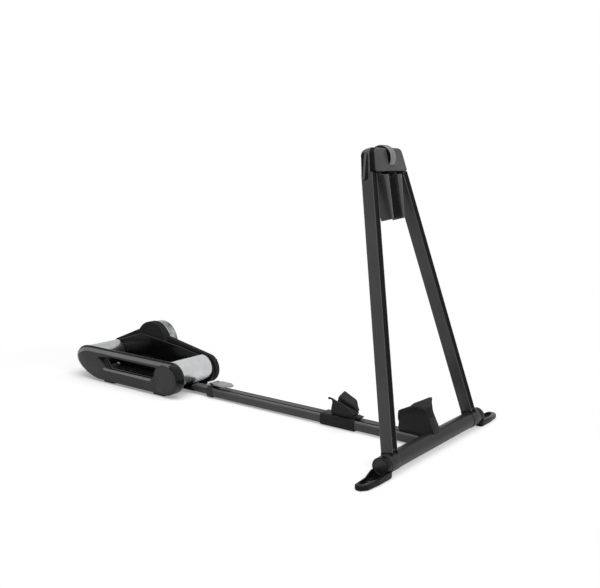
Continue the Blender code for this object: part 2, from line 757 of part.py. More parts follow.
def front_cradle(base):
    base_z = RAIL_TOP + GAP
    sections = cradle_sections(FRONT_CRADLE_STATIONS, FRONT_CRADLE_LEAN, base_z)
    cradle = loft("front_cradle", sections, base, "black_plastic")
    saddle = rod("cradle_saddle_cutter", CROSSBAR_RADIUS + GAP, (0.0, -CUT_REACH, CROSSBAR_AXIS_Z),
                 (0.0, CUT_REACH, CROSSBAR_AXIS_Z), base)
    cut(cradle, saddle)
    front = box("cradle_front_cutter", (0.0, -CUT_REACH, 0.0),
                (CUT_REACH, CUT_REACH, CROSSBAR_AXIS_Z + CRADLE_NOSE_RISE), base)
    cut(cradle, front)


def rear_cradle(base):
    """The second scoop, on a sleeve that slides along the rail."""
    middle = (SLEEVE_FRONT_X + SLEEVE_REAR_X) / 2
    slider = empty("rear_cradle_slider", (middle, 0.0, 0.0), base)
    sleeve_top = RAIL_TOP + RAIL_SLIP + SLEEVE_WALL
    outer = rail_section(RAIL_SLIP + SLEEVE_WALL, RAIL_CORNER + 0.003)
    hole = rail_section(RAIL_SLIP, RAIL_CORNER)
    sleeve = plate("cradle_sleeve", [outer, hole], SLEEVE_REAR_X - middle, SLEEVE_FRONT_X - middle, "YZ",
                   slider, "black_plastic")
    sections = cradle_sections(REAR_CRADLE_STATIONS, REAR_CRADLE_LEAN, sleeve_top + GAP)
    loft("rear_cradle", [[(x - middle, y, z) for x, y, z in loop] for loop in sections], slider,
         "black_plastic")
    latch(slider, sleeve, sleeve_top)


def latch(slider, sleeve, sleeve_top):
    """A thumb tab in front of the rear scoop that frees the sleeve."""
    pin_x = SLEEVE_FRONT_X - slider.location.x - LATCH_SETBACK
    pin_z = sleeve_top + GAP + 0.0040
    axis = empty("cradle_latch_axis", (pin_x, 0.0, pin_z), slider)
    half = LATCH_WIDTH / 2
    thick = LATCH_THICKNESS / 2
    outline = arc((0.0, 0.0), thick + 0.0008, 90, 270, 8)
    outline += [(0.004, -thick), (LATCH_LENGTH, -thick - 0.0015)]
    outline += arc((LATCH_LENGTH, 0.0), thick, -80, 90, 6)
    tab = plate("cradle_latch", [outline], -half, half, "XZ", axis, "black_plastic")
    hole = rod("latch_hole", LATCH_PIN_RADIUS + GAP, (0.0, -0.02, 0.0), (0.0, 0.02, 0.0), axis,
               segments=12)
    cut(tab, hole)
    for side in (1, -1):
        inner = half + RUNNING_GAP
        low_y, high_y = sorted((side * inner, side * (inner + LATCH_LUG_WIDTH)))
        ear = [(pin_x - LATCH_LUG_HALF, sleeve_top - 0.0015),
               (pin_x + LATCH_LUG_HALF, sleeve_top - 0.0015)]
        ear += arc((pin_x, pin_z), 0.0032, 0, 180, 6)
        lug = plate(side_name(side) + "_latch_lug", [ear], low_y, high_y, "XZ", slider)
        cut(sleeve, lug, "UNION")
    pin_hole = rod("latch_lug_hole", LATCH_PIN_RADIUS + GAP, (pin_x, -0.03, pin_z),
                   (pin_x, 0.03, pin_z), slider, segments=12)
    cut(sleeve, pin_hole)
    reach = half + RUNNING_GAP + LATCH_LUG_WIDTH
    rod("latch_pin", LATCH_PIN_RADIUS, (pin_x, -reach, pin_z), (pin_x, reach, pin_z), slider, "steel", 12)


# A-frame: in its own frame X points out of its front face, Z runs up from the hinge axis

def leg_place(side, pivot):
    """An empty at the foot of a leg, with Z along the leg."""
    return empty(side_name(side) + "_leg_line", (0.0, side * LEG_BASE_Y, 0.0), pivot,
                 (side * LEG_ANGLE, 0.0, 0.0))


def leg_loops(side):
    """Hollow leg section: a dark groove runs up the front face, nearer the outer side."""
    half_x = LEG_DEPTH / 2
    half_y = LEG_WIDTH / 2
    groove = GROOVE_WIDTH / 2
    shift = side * GROOVE_SHIFT
    outer = rounded_rectangle((-half_x, -half_y), (half_x, half_y), LEG_CORNER, 3)
    front = [point for point in outer if point[0] > half_x - 0.0001]
    start = outer.index(max(front, key=lambda p: -p[1]))
    notch = [(half_x, shift - groove), (half_x - GROOVE_DEPTH, shift - groove),
             (half_x - GROOVE_DEPTH, shift + groove), (half_x, shift + groove)]
    outer = outer[:start + 1] + notch + outer[start + 1:]
    rear_x = -half_x + LEG_WALL
    front_x = half_x - LEG_WALL - GROOVE_DEPTH
    hole_y = half_y - LEG_WALL
    return outer, [(front_x, hole_y), (rear_x, hole_y), (rear_x, -hole_y), (front_x, -hole_y)]


def leg_length():
    """Length of the leg's line from the hinge axis to the head's underside."""
    return (HEAD_BOTTOM + LEG_WIDTH / 2 * math.sin(LEG_ANGLE)) / math.cos(LEG_ANGLE)


def spigot_box(name, place, low, high, clearance=GAP):
    """A block that fits the leg's hollow."""
    half_x = LEG_DEPTH / 2
    half_y = LEG_WIDTH / 2 - LEG_WALL - clearance
    return box(name, (-half_x + LEG_WALL + clearance, -half_y, low),
               (half_x - LEG_WALL - GROOVE_DEPTH - clearance, half_y, high), place)


def leg(side, pivot):
    place = leg_place(side, pivot)
    outer, hole = leg_loops(side)
    tube = plate(side_name(side) + "_leg", [outer, hole], LEG_START, leg_length() - GAP, "XY", place,
                 "black_alloy")
    cut(tube, rod(tube.name + "_saddle", KNUCKLE_RADIUS + GAP,
                  (0.0, side * (KNUCKLE_INNER_Y - CUT_REACH), 0.0),
                  (0.0, side * (KNUCKLE_OUTER_Y + CUT_REACH), 0.0), pivot))
    return place


def knuckle(side, pivot, place):
    """A bored hub that turns on the crossbar's end and carries the leg on a spigot."""
    name = side_name(side) + "_knuckle"
    hub = rod(name, KNUCKLE_RADIUS, (0.0, side * KNUCKLE_INNER_Y, 0.0),
              (0.0, side * KNUCKLE_OUTER_Y, 0.0), pivot, "black_alloy", 32)
    top = KNUCKLE_RADIUS + SPIGOT_LENGTH
    cut(hub, spigot_box(name + "_spigot", place, 0.0195, top), "UNION")
    bore = rod(name + "_bore", HINGE_RADIUS + GAP, (0.0, side * (KNUCKLE_INNER_Y - 0.02), 0.0),
               (0.0, side * (KNUCKLE_OUTER_Y + 0.02), 0.0), pivot)
    cut(hub, bore)


def leg_outer_y(d):
    """Outer face of a leg at a distance up the A-frame."""
    return LEG_BASE_Y - math.tan(LEG_ANGLE) * d + LEG_WIDTH / 2 / math.cos(LEG_ANGLE)


def leg_inner_y(d):
    return LEG_BASE_Y - math.tan(LEG_ANGLE) * d - LEG_WIDTH / 2 / math.cos(LEG_ANGLE)


def head_outline():
    """The head seen from the front: close to the legs' outer lines, with a rounded top."""
    inner_corner = (leg_inner_y(HEAD_BOTTOM), HEAD_BOTTOM)
    rise = LEG_WIDTH * math.sin(LEG_ANGLE)
    outer_corner = (inner_corner[0] + LEG_WIDTH * math.cos(LEG_ANGLE), HEAD_BOTTOM + rise)
    top = (leg_outer_y(HEAD_TOP) - HEAD_TAPER, HEAD_TOP)
    right = [inner_corner, outer_corner, top]
    corners = right + [(-y, d) for y, d in right[::-1]]
    return rounded_polygon(corners, [0.0, 0.0, HEAD_CORNER, HEAD_CORNER, 0.0, 0.0], 6)


def cover_outline():
    """The front cover's outline, drawn in from the head's outline all round."""
    bottom = (leg_outer_y(COVER_BOTTOM) - COVER_INSET, COVER_BOTTOM)
    top = (leg_outer_y(COVER_TOP) - COVER_INSET, COVER_TOP)
    corners = [bottom, top, (-top[0], top[1]), (-bottom[0], bottom[1])]
    radii = [COVER_LOWER_CORNER, COVER_CORNER, COVER_CORNER, COVER_LOWER_CORNER]
    return rounded_polygon(corners, radii, 6)


def dial_cutter(name, parent, width):
    return rod(name, DIAL_RADIUS + DIAL_CLEAR, (DIAL_OFFSET, -width / 2, DIAL_D),
               (DIAL_OFFSET, width / 2, DIAL_D), parent, segments=40)


def head_shells(pivot):
    """A hollow rear shell and a narrower front cover, open below for the arms, with the wheel's slot."""
    slot_width = DIAL_WIDTH + 2 * DIAL_CLEAR
    mouth_half = HEAD_CAVITY_HALF - MOUTH_INSET
    shell = plate("head_rear_shell", [head_outline()], HEAD_REAR, HEAD_SPLIT - GAP, "YZ", pivot,
                  "black_plastic")
    cut(shell, plate("rear_shell_pocket", [inset(head_outline(), HEAD_WALL)], HEAD_REAR + HEAD_WALL,
                     HEAD_SPLIT + 0.01, "YZ", pivot))
    cover = plate("head_front_cover", [cover_outline()], HEAD_SPLIT, HEAD_FRONT, "YZ", pivot,
                  "black_plastic")
    cut(cover, plate("front_cover_pocket", [inset(cover_outline(), HEAD_WALL)], HEAD_SPLIT - 0.01,
                     HEAD_FRONT - HEAD_WALL, "YZ", pivot))
    for piece, low_x, high_x in ((shell, ARM_REAR - 0.0010, HEAD_SPLIT + 0.01),
                                 (cover, HEAD_SPLIT - 0.01, HEAD_FRONT - HEAD_WALL)):
        mouth = box(piece.name + "_mouth", (low_x, -mouth_half, HEAD_BOTTOM - 0.01),
                    (high_x, mouth_half, HEAD_BOTTOM + 0.0075), pivot)
        cut(piece, mouth)
        cut(piece, dial_cutter(piece.name + "_slot", pivot, slot_width))


def head_frame(pivot, places):
    """The cast frame inside the head: it holds the pins and plugs into both legs."""
    inner = inset(head_outline(), HEAD_WALL + GAP)
    low = HEAD_REAR + HEAD_WALL + GAP
    high = HEAD_FRONT - HEAD_WALL - GAP
    frame = plate("head_frame", [inner], low, HEAD_SPLIT - GAP, "YZ", pivot, "grey_alloy")
    nose = inset(cover_outline(), HEAD_WALL + GAP)
    cut(frame, plate("head_frame_front", [nose], HEAD_SPLIT - 0.006, high, "YZ", pivot), "UNION")
    ear = EAR_DEPTH / 2 + RUNNING_GAP
    half = HEAD_CAVITY_HALF
    cavity = box("head_cavity", (-ear, -half, HEAD_BOTTOM - 0.01), (ear, half, HEAD_CAVITY_TOP), pivot)
    cut(frame, cavity)
    cut(frame, dial_cutter("head_dial_clearance", pivot, DIAL_WIDTH + 2 * DIAL_CLEAR))
    reach = SCREW_HALF + 2 * GAP
    screw_hole = rod("head_screw_hole", SCREW_RADIUS + GAP, (DIAL_OFFSET, -reach, DIAL_D),
                     (DIAL_OFFSET, reach, DIAL_D), pivot, segments=32)
    cut(frame, screw_hole)
    for side, place in places.items():
        start = leg_length() - SPIGOT_LENGTH
        end = leg_length() + 0.012
        cut(frame, spigot_box("head_spigot_" + side_name(side), place, start, end), "UNION")
        cut(bpy.data.objects["head_rear_shell"],
            spigot_box("spigot_clearance_" + side_name(side), place, start, end, 0.0))
        pin = rod("arm_pin_hole_" + side_name(side), ARM_PIN_RADIUS + GAP,
                  (-0.05, side * ARM_PIVOT_Y, ARM_PIVOT_D), (0.05, side * ARM_PIVOT_Y, ARM_PIVOT_D),
                  pivot, segments=16)
        cut(frame, pin)
        rod(side_name(side) + "_arm_pin", ARM_PIN_RADIUS, (low, side * ARM_PIVOT_Y, ARM_PIVOT_D),
            (high, side * ARM_PIVOT_Y, ARM_PIVOT_D), pivot, "steel", 16)


def side_pockets(places):
    """A long recess on each side of the head."""
    shell = bpy.data.objects["head_rear_shell"]
    for side, place in places.items():
        face = side * LEG_WIDTH / 2
        middle_x = (HEAD_REAR + HEAD_SPLIT) / 2 - 0.0005
        along = POCKET_CENTRE / math.cos(LEG_ANGLE)
        half_l = POCKET_LENGTH / 2
        half_w = POCKET_WIDTH / 2
        recess = rounded_rectangle((middle_x - half_w, along - half_l),
                                   (middle_x + half_w, along + half_l), half_w * 0.6)
        low_y, high_y = sorted((face - side * POCKET_DEPTH, face + side * 0.01))
        cut(shell, plate(side_name(side) + "_side_recess", [recess], low_y, high_y, "XZ", place))


def clamp_dial(pivot):
    """The thumb wheel: a metal rim on a dark hub, which is moulded on a screw of opposite hands."""
    axis = empty("clamp_dial_axis", (DIAL_OFFSET, 0.0, DIAL_D), pivot)
    half = DIAL_WIDTH / 2
    rim_inner = DIAL_RADIUS - DIAL_RIM
    rim = [(rim_inner, half), (DIAL_RADIUS - 0.0025, half), (DIAL_RADIUS, half - 0.0035),
           (DIAL_RADIUS, -half + 0.0035), (DIAL_RADIUS - 0.0025, -half), (rim_inner, -half)]
    turned("dial_rim", rim, axis, "brushed_silver", steps=40)
    hub = half - 0.003
    profile = [(0.0, -SCREW_HALF), (SCREW_RADIUS, -SCREW_HALF), (SCREW_RADIUS, -hub),
               (rim_inner - GAP, -hub), (rim_inner - GAP, hub), (SCREW_RADIUS, hub),
               (SCREW_RADIUS, SCREW_HALF), (0.0, SCREW_HALF)]
    turn = Matrix.Rotation(-math.pi / 2, 4, "X")

    def build(bm):
        spin_profile(bm, profile, 32, turn)

    add_mesh("clamp_screw", mesh_from(build, "clamp_screw"), axis, "black_plastic")


def clamp_arm(side, pivot):
    """A long jaw that hangs from the head on a pin, with a rubber pad facing the tyre."""
    name = side_name(side) + "_arm"
    origin = (0.0, side * ARM_PIVOT_Y, ARM_PIVOT_D)
    axis = empty(name + "_pivot", origin, pivot)

    def local(points):
        moved = [(side * y - origin[1], d - origin[2]) for y, d in points]
        return moved if side > 0 else moved[::-1]

    blade = [(ARM_INNER_TIP, ARM_BOTTOM), (ARM_OUTER_TIP, ARM_BOTTOM), (ARM_OUTER_TOP, ARM_SHOULDER),
             (ARM_INNER_TOP, ARM_SHOULDER)]
    blade = rounded_polygon(blade, [0.002, 0.003, 0.0, 0.0], 3)
    arm = plate(name, [local(blade)], ARM_REAR, ARM_FRONT, "YZ", axis, "black_alloy")
    ear = [(EAR_INNER_Y, ARM_SHOULDER - 0.01), (EAR_OUTER_Y - 0.002, ARM_SHOULDER - 0.01),
           (EAR_OUTER_Y, ARM_PIVOT_D), (EAR_OUTER_Y - 0.003, EAR_TOP), (EAR_INNER_Y + 0.002, EAR_TOP)]
    half = EAR_DEPTH / 2
    cut(arm, plate(name + "_ear", [local(ear)], -half, half, "YZ", axis), "UNION")
    reach = ARM_SHOULDER - ARM_BOTTOM
    slant = [(ARM_TIP_FRONT, ARM_BOTTOM - ARM_PIVOT_D), (ARM_FRONT, ARM_SHOULDER - ARM_PIVOT_D),
             (0.05, ARM_SHOULDER - ARM_PIVOT_D), (0.05, ARM_BOTTOM - ARM_PIVOT_D - 0.02),
             (ARM_TIP_FRONT - 0.02 * (ARM_FRONT - ARM_TIP_FRONT) / reach, ARM_BOTTOM - ARM_PIVOT_D - 0.02)]
    cut(arm, plate(name + "_slant", [slant], -0.03, 0.03, "XZ", axis))
    pin = rod(name + "_pin_bore", ARM_PIN_RADIUS + GAP, (-0.05, 0.0, 0.0), (0.05, 0.0, 0.0), axis,
              segments=16)
    cut(arm, pin)
    height = DIAL_D - ARM_PIVOT_D
    middle = side * ((EAR_INNER_Y + EAR_OUTER_Y) / 2 - ARM_PIVOT_Y)
    passage = rod(name + "_nut_bore", NUT_RADIUS + GAP, (DIAL_OFFSET, middle - 0.03, height),
                  (DIAL_OFFSET, middle + 0.03, height), axis, segments=20)
    cut(arm, passage)
    nut = ring_profile(SCREW_RADIUS + NUT_CLEARANCE, NUT_RADIUS, middle - NUT_LENGTH / 2,
                       middle + NUT_LENGTH / 2)
    piece = turned(name + "_nut", nut, axis, "steel", 16)
    piece.location = (DIAL_OFFSET, 0.0, height)
    pad = [(ARM_INNER_TIP - GAP - ARM_PAD_THICKNESS, ARM_BOTTOM + ARM_PAD_INSET),
           (ARM_INNER_TIP - GAP, ARM_BOTTOM + ARM_PAD_INSET),
           (ARM_INNER_TOP - GAP, ARM_SHOULDER - ARM_PAD_INSET),
           (ARM_INNER_TOP - GAP - ARM_PAD_THICKNESS, ARM_SHOULDER - ARM_PAD_INSET)]
    plate(name + "_pad", [local(pad)], ARM_REAR + 0.003, ARM_TIP_FRONT - 0.001, "YZ", axis, "rubber")


def a_frame(base):
    """The folding frame, with its hinge on the crossbar's axis and its top leaned back."""
    pivot = empty("a_frame_pivot", (0.0, 0.0, CROSSBAR_AXIS_Z), base, (0.0, -LEAN, 0.0))
    places = {}
    for side in (1, -1):
        places[side] = leg(side, pivot)
        knuckle(side, pivot, places[side])
    head_shells(pivot)
    side_pockets(places)
    head_frame(pivot, places)
    clamp_dial(pivot)
    for side in (1, -1):
        clamp_arm(side, pivot)


# Roller unit

def drum_places():
    return {"front": (FRONT_DRUM_X, FRONT_DRUM_Z), "rear": (REAR_DRUM_X, REAR_DRUM_Z)}


def side_frame_outline(slant=0.0):
    """The right side seen from the side: a round front end and a hull-shaped rear end.

    slant runs from 0 at the inner plane to 1 at the outer plane, where the rear end is drawn in.
    """
    radius = (SIDE_TOP_Z - SIDE_BOTTOM_Z) / 2
    points = arc((SIDE_FRONT_X - radius, SIDE_BOTTOM_Z + radius), radius, -90, 90, 14)
    nose_x = SIDE_REAR_X + NOSE_SLANT * slant
    nose_z = REAR_DRUM_Z + 0.002 + 0.015 * slant
    top_x = nose_x + NOSE_TOP_RUN
    bottom_x = nose_x + 0.095 + 0.035 * slant
    for i in range(9):
        angle = math.pi / 2 * i / 8
        points.append((top_x - (top_x - nose_x) * math.sin(angle),
                       nose_z + (SIDE_TOP_Z - nose_z) * math.cos(angle)))
    for i in range(1, 9):
        share = 1.0 - i / 8
        depth = (1.0 - share ** 1.8) ** (1 / 1.8)
        points.append((bottom_x - (bottom_x - nose_x) * share, nose_z - (nose_z - SIDE_BOTTOM_Z) * depth))
    return points


def window_outline():
    """The hand hole: pointed at the rear and slanted at the front, next to the disc."""
    corners = [(WINDOW_REAR_X + 0.035, WINDOW_BOTTOM_Z), (WINDOW_FRONT_X - 0.044, WINDOW_BOTTOM_Z),
               (WINDOW_FRONT_X, WINDOW_TOP_Z - 0.008), (WINDOW_FRONT_X - 0.014, WINDOW_TOP_Z),
               (WINDOW_REAR_X + 0.074, WINDOW_TOP_Z), (WINDOW_REAR_X, WINDOW_TOP_Z - 0.010)]
    return rounded_polygon(corners, [0.010, 0.012, 0.006, 0.006, 0.020, 0.003], 4)


def right_side(unit):
    """The moulded side frame, its bearing plate and the bare disc that caps the front drum."""
    width = SIDE_INNER_Y - SIDE_OUTER_Y

    def section(y, distance):
        loop = side_frame_outline((SIDE_INNER_Y - y) / width)
        return [(x, y, z) for x, z in inset(loop, distance)]

    window = window_outline()
    places = ((SIDE_INNER_Y, 0.0), (SIDE_OUTER_Y + SIDE_EDGE, 0.0),
              (SIDE_OUTER_Y + SIDE_EDGE * 0.3, SIDE_EDGE * 0.3), (SIDE_OUTER_Y, SIDE_EDGE))
    frame = loft("right_side_frame", [section(y, distance) for y, distance in places], unit,
                 "black_plastic")
    pocket = loft("side_frame_pocket", [section(SIDE_INNER_Y + 0.01, SIDE_WALL),
                                        section(SIDE_OUTER_Y + SIDE_WALL, SIDE_WALL)], unit)
    rim = plate("window_rim", [inset(window, -SIDE_WALL)], SIDE_OUTER_Y - 0.01, SIDE_OUTER_Y + SILL_DEPTH,
                "XZ", unit)
    cut(pocket, rim)
    cut(frame, pocket)
    cut(frame, plate("window_cutter", [window], SIDE_OUTER_Y - 0.01, SIDE_INNER_Y + 0.01, "XZ", unit))
    cap_centre = (SIDE_FRONT_X - 0.0585, SIDE_BOTTOM_Z + 0.0525)
    recess = rod("disc_recess", CAP_RADIUS + GAP, (cap_centre[0], SIDE_OUTER_Y - 0.01, cap_centre[1]),
                 (cap_centre[0], SIDE_OUTER_Y + CAP_RECESS, cap_centre[1]), unit, segments=40)
    cut(frame, recess)
    start = SIDE_OUTER_Y + CAP_RECESS - GAP
    rod("disc_cap", CAP_RADIUS, (cap_centre[0], start - CAP_THICKNESS + 0.001, cap_centre[1]),
        (cap_centre[0], start, cap_centre[1]), unit, "black_plastic", 40)
    holes = [circle(place, BEARING_RADIUS + GAP, 20) for place in drum_places().values()]
    plate("right_bearing_plate", [inset(side_frame_outline(), 0.0008), inset(window, -0.0008)] + holes,
          PLATE_OUTER_Y, PLATE_OUTER_Y + PLATE_THICKNESS, "XZ", unit, "black_alloy")


def drum(name, place, unit):
    """A silver drum with webbed ends, on an axle that carries its belt pulley."""
    axis = empty(name + "_axis", (place[0], 0.0, place[1]), unit)
    bore = AXLE_RADIUS + GAP
    inside = DRUM_RADIUS - DRUM_WALL
    profile = [(bore, DRUM_LEFT_Y), (DRUM_RADIUS, DRUM_LEFT_Y), (DRUM_RADIUS, DRUM_RIGHT_Y),
               (bore, DRUM_RIGHT_Y), (bore, DRUM_RIGHT_Y + DRUM_WEB), (inside, DRUM_RIGHT_Y + DRUM_WEB),
               (inside, DRUM_LEFT_Y - DRUM_WEB), (bore, DRUM_LEFT_Y - DRUM_WEB)]
    turned(name, profile, axis, "brushed_silver", steps=40)
    shaft(name.replace("drum", "axle"), AXLE_RADIUS, DRUM_RIGHT_Y - PLATE_GAP - BEARING_WIDTH,
          BELT_Y + PULLEY_WIDTH / 2 + 0.002, DRUM_PULLEY_RADIUS, axis)


def shaft(name, radius, start, end, groove_radius, axis):
    """A solid shaft turned in one piece with its flanged belt pulley."""
    low = BELT_Y - PULLEY_WIDTH / 2
    high = BELT_Y + PULLEY_WIDTH / 2
    flange = groove_radius + PULLEY_FLANGE
    lip = 0.0012
    profile = [(0.0, start), (radius, start), (radius, low), (flange, low), (flange, low + lip),
               (groove_radius, low + lip), (groove_radius, high - lip), (flange, high - lip),
               (flange, high), (radius, high), (radius, end), (0.0, end)]
    turn = Matrix.Rotation(-math.pi / 2, 4, "X")

    def build(bm):
        spin_profile(bm, profile, 20, turn)

    add_mesh(name, mesh_from(build, name), axis, "steel")


def bearing(name, place, bore, start, width, unit):
    ring = turned(name, ring_profile(bore, BEARING_RADIUS, start, start + width), unit, "steel", 16)
    ring.location = (place[0], 0.0, place[1])


def bearings(unit):
    """One ring at each end of each drum, and one on the flywheel's shaft."""
    right = DRUM_RIGHT_Y - PLATE_GAP - BEARING_WIDTH
    bore = AXLE_RADIUS + GAP
    for name, place in drum_places().items():
        bearing(name + "_right_bearing", place, bore, right, BEARING_WIDTH, unit)
        bearing(name + "_left_bearing", place, bore, LEFT_PLATE_Y, PLATE_THICKNESS, unit)
    bearing("flywheel_bearing", (FLYWHEEL_X, FLYWHEEL_Z), SHAFT_RADIUS + GAP, LEFT_PLATE_Y,
            PLATE_THICKNESS, unit)


def housing_outline():
    """The left side seen from the side: rounded over both drums and peaked at the flywheel."""
    radius = HOUSING_END_RADIUS
    front = (FRONT_DRUM_X, HOUSING_BOTTOM_Z + radius)
    rear = (REAR_DRUM_X, HOUSING_BOTTOM_Z + radius)
    points = arc(front, radius, -90, 78, 12)
    points.append((APEX_X, APEX_Z))
    points += arc(rear, radius, 114, 270, 12)
    return points


def inner_cover_outline():
    """The smaller inner panel, whose top edge lies below the outer cover's."""
    radius = HOUSING_END_RADIUS - INNER_DROP / 2
    front = (FRONT_DRUM_X, HOUSING_BOTTOM_Z + 0.001 + radius)
    rear = (REAR_DRUM_X, HOUSING_BOTTOM_Z + 0.001 + radius)
    points = arc(front, radius, -90, 84, 12)
    points.append((-1.099, APEX_Z - 0.0490))
    points.append((-1.206, APEX_Z - 0.0365))
    points.append((APEX_X - 0.006, APEX_Z - 0.0245))
    points += arc(rear, radius, 112, 270, 12)
    return points


def left_housing(unit):
    """Two hollow covers that meet on a seam and hold the belt drive."""
    outline = housing_outline()
    inner_loop = inner_cover_outline()
    inner = plate("housing_inner_cover", [inner_loop], HOUSING_INNER_Y, HOUSING_SEAM_Y - GAP, "XZ",
                  unit, "gloss_black")
    cut(inner, plate("inner_cover_pocket", [inset(inner_loop, HOUSING_WALL)],
                     HOUSING_INNER_Y + HOUSING_WALL, HOUSING_SEAM_Y + 0.01, "XZ", unit))
    outer = plate("housing_outer_cover", [outline], HOUSING_SEAM_Y, HOUSING_OUTER_Y, "XZ", unit,
                  "black_plastic")
    hump = rod("housing_hump", HUMP_RADIUS, (FLYWHEEL_X, HUMP_INNER_Y, FLYWHEEL_Z),
               (FLYWHEEL_X, HOUSING_OUTER_Y, FLYWHEEL_Z), unit, segments=40)
    cut(hump, plate("hump_relief", [inset(inner_loop, -GAP)], HUMP_INNER_Y - 0.01, HOUSING_SEAM_Y, "XZ",
                    unit))
    cut(outer, hump, "UNION")
    roof = HOUSING_OUTER_Y - HOUSING_WALL
    cut(outer, plate("outer_cover_pocket", [inset(inner_loop, HOUSING_WALL)], HOUSING_SEAM_Y - 0.01,
                     roof, "XZ", unit))
    cut(outer, rod("hump_pocket", HUMP_RADIUS - HOUSING_WALL, (FLYWHEEL_X, HOUSING_SEAM_Y + HOUSING_WALL,
                                                               FLYWHEEL_Z),
                   (FLYWHEEL_X, roof, FLYWHEEL_Z), unit, segments=40))
    cut(outer, rod("shaft_hole", SHAFT_RADIUS + 0.002, (FLYWHEEL_X, roof - 0.01, FLYWHEEL_Z),
                   (FLYWHEEL_X, HOUSING_OUTER_Y + 0.01, FLYWHEEL_Z), unit, segments=24))
    for name, (x, z) in drum_places().items():
        cut(inner, rod(name + "_axle_hole", AXLE_RADIUS + 0.003, (x, 0.06, z), (x, 0.10, z), unit,
                       segments=24))


def left_plate(unit):
    """The steel plate inside the housing that holds the bearings and the drive."""
    loop = inset(inner_cover_outline(), HOUSING_WALL + GAP)
    holes = [circle(place, BEARING_RADIUS + GAP, 20) for place in drum_places().values()]
    holes.append(circle((FLYWHEEL_X, FLYWHEEL_Z), BEARING_RADIUS + GAP, 20))
    plate("left_bearing_plate", [loop] + holes, LEFT_PLATE_Y, LEFT_PLATE_Y + PLATE_THICKNESS, "XZ",
          unit, "steel")


def flywheel(unit):
    """A heavy rimmed wheel outside the housing, on the shaft of the small pulley."""
    axis = empty("flywheel_axis", (FLYWHEEL_X, 0.0, FLYWHEEL_Z), unit)
    inner = FLYWHEEL_INNER_Y
    outer = FLYWHEEL_INNER_Y + FLYWHEEL_WIDTH
    rim = FLYWHEEL_RADIUS - FLYWHEEL_RIM
    bore = SHAFT_RADIUS + GAP
    web = inner + FLYWHEEL_WEB
    profile = [(bore, web + 0.006), (0.018, web + 0.006), (0.020, web), (rim - 0.004, web),
               (rim, web + 0.004), (rim + 0.003, outer), (FLYWHEEL_RADIUS - 0.003, outer),
               (FLYWHEEL_RADIUS, outer - 0.003), (FLYWHEEL_RADIUS, inner + 0.002),
               (FLYWHEEL_RADIUS - 0.002, inner), (bore, inner)]
    turned("flywheel", profile, axis, "brushed_silver", steps=48)
    shaft("flywheel_shaft", SHAFT_RADIUS, LEFT_PLATE_Y, web + 0.0075, FLYWHEEL_PULLEY_RADIUS, axis)


def belt(unit):
    """The flat ribbed belt round the three pulleys."""
    middle = [(FRONT_DRUM_X, FRONT_DRUM_Z), (REAR_DRUM_X, REAR_DRUM_Z)]
    circles = [(place, DRUM_PULLEY_RADIUS + GAP * 2) for place in middle]
    circles.append(((FLYWHEEL_X, FLYWHEEL_Z), FLYWHEEL_PULLEY_RADIUS + GAP * 2))
    thicker = [(centre, radius + BELT_THICKNESS) for centre, radius in circles]
    loops = [hull_of_circles(thicker, 28), hull_of_circles(circles, 28)]
    plate("drive_belt", loops, BELT_Y - BELT_WIDTH / 2, BELT_Y + BELT_WIDTH / 2, "XZ", unit, "rubber")


def brake(unit):
    """The magnetic brake: a steel ring with coils that face the flywheel through the cover."""
    roof = HOUSING_OUTER_Y - HOUSING_WALL - GAP
    coil_low = roof - COIL_HEIGHT
    ring = turned("brake_ring", ring_profile(BRAKE_INNER_RADIUS, BRAKE_OUTER_RADIUS,
                                             coil_low - BRAKE_THICKNESS, coil_low), unit, "steel", 32)
    ring.location = (FLYWHEEL_X, 0.0, FLYWHEEL_Z)
    middle = (BRAKE_OUTER_RADIUS + BRAKE_INNER_RADIUS) / 2
    for i in range(COIL_COUNT):
        angle = 2 * math.pi * (i + 0.5) / COIL_COUNT
        x = FLYWHEEL_X + middle * math.cos(angle)
        z = FLYWHEEL_Z + middle * math.sin(angle)
        coil = rod("brake_coil_%d" % i, COIL_RADIUS, (x, coil_low - BRAKE_THICKNESS / 2, z), (x, roof, z),
                   unit, segments=12)
        cut(ring, coil, "UNION")


def electronics(unit):
    """The control board on the bearing plate and the power inlet in the outer cover."""
    start = LEFT_PLATE_Y + PLATE_THICKNESS + GAP
    low_x = FRONT_DRUM_X - BOARD_SETBACK
    low_z = FRONT_DRUM_Z - BOARD_DROP
    box("control_board", (low_x, start, low_z),
        (low_x + BOARD_LENGTH, start + BOARD_THICKNESS, low_z + BOARD_HEIGHT), unit, "board_green")
    centre = (REAR_DRUM_X + INLET_AHEAD, HOUSING_BOTTOM_Z + INLET_RISE)
    top = HOUSING_OUTER_Y + INLET_PROUD
    bottom = top - INLET_LENGTH
    cut(bpy.data.objects["housing_outer_cover"],
        rod("inlet_hole", INLET_RADIUS + GAP, (centre[0], bottom, centre[1]),
            (centre[0], top + INLET_LENGTH, centre[1]), unit, segments=24))
    profile = [(0.0, bottom), (INLET_RADIUS, bottom), (INLET_RADIUS, top), (INLET_BORE, top),
               (INLET_BORE, bottom + INLET_FLOOR), (0.0, bottom + INLET_FLOOR)]
    turn = Matrix.Translation((centre[0], 0.0, centre[1])) @ Matrix.Rotation(-math.pi / 2, 4, "X")

    def build(bm):
        spin_profile(bm, profile, 20, turn)

    add_mesh("power_inlet", mesh_from(build, "power_inlet"), unit, "black_plastic")


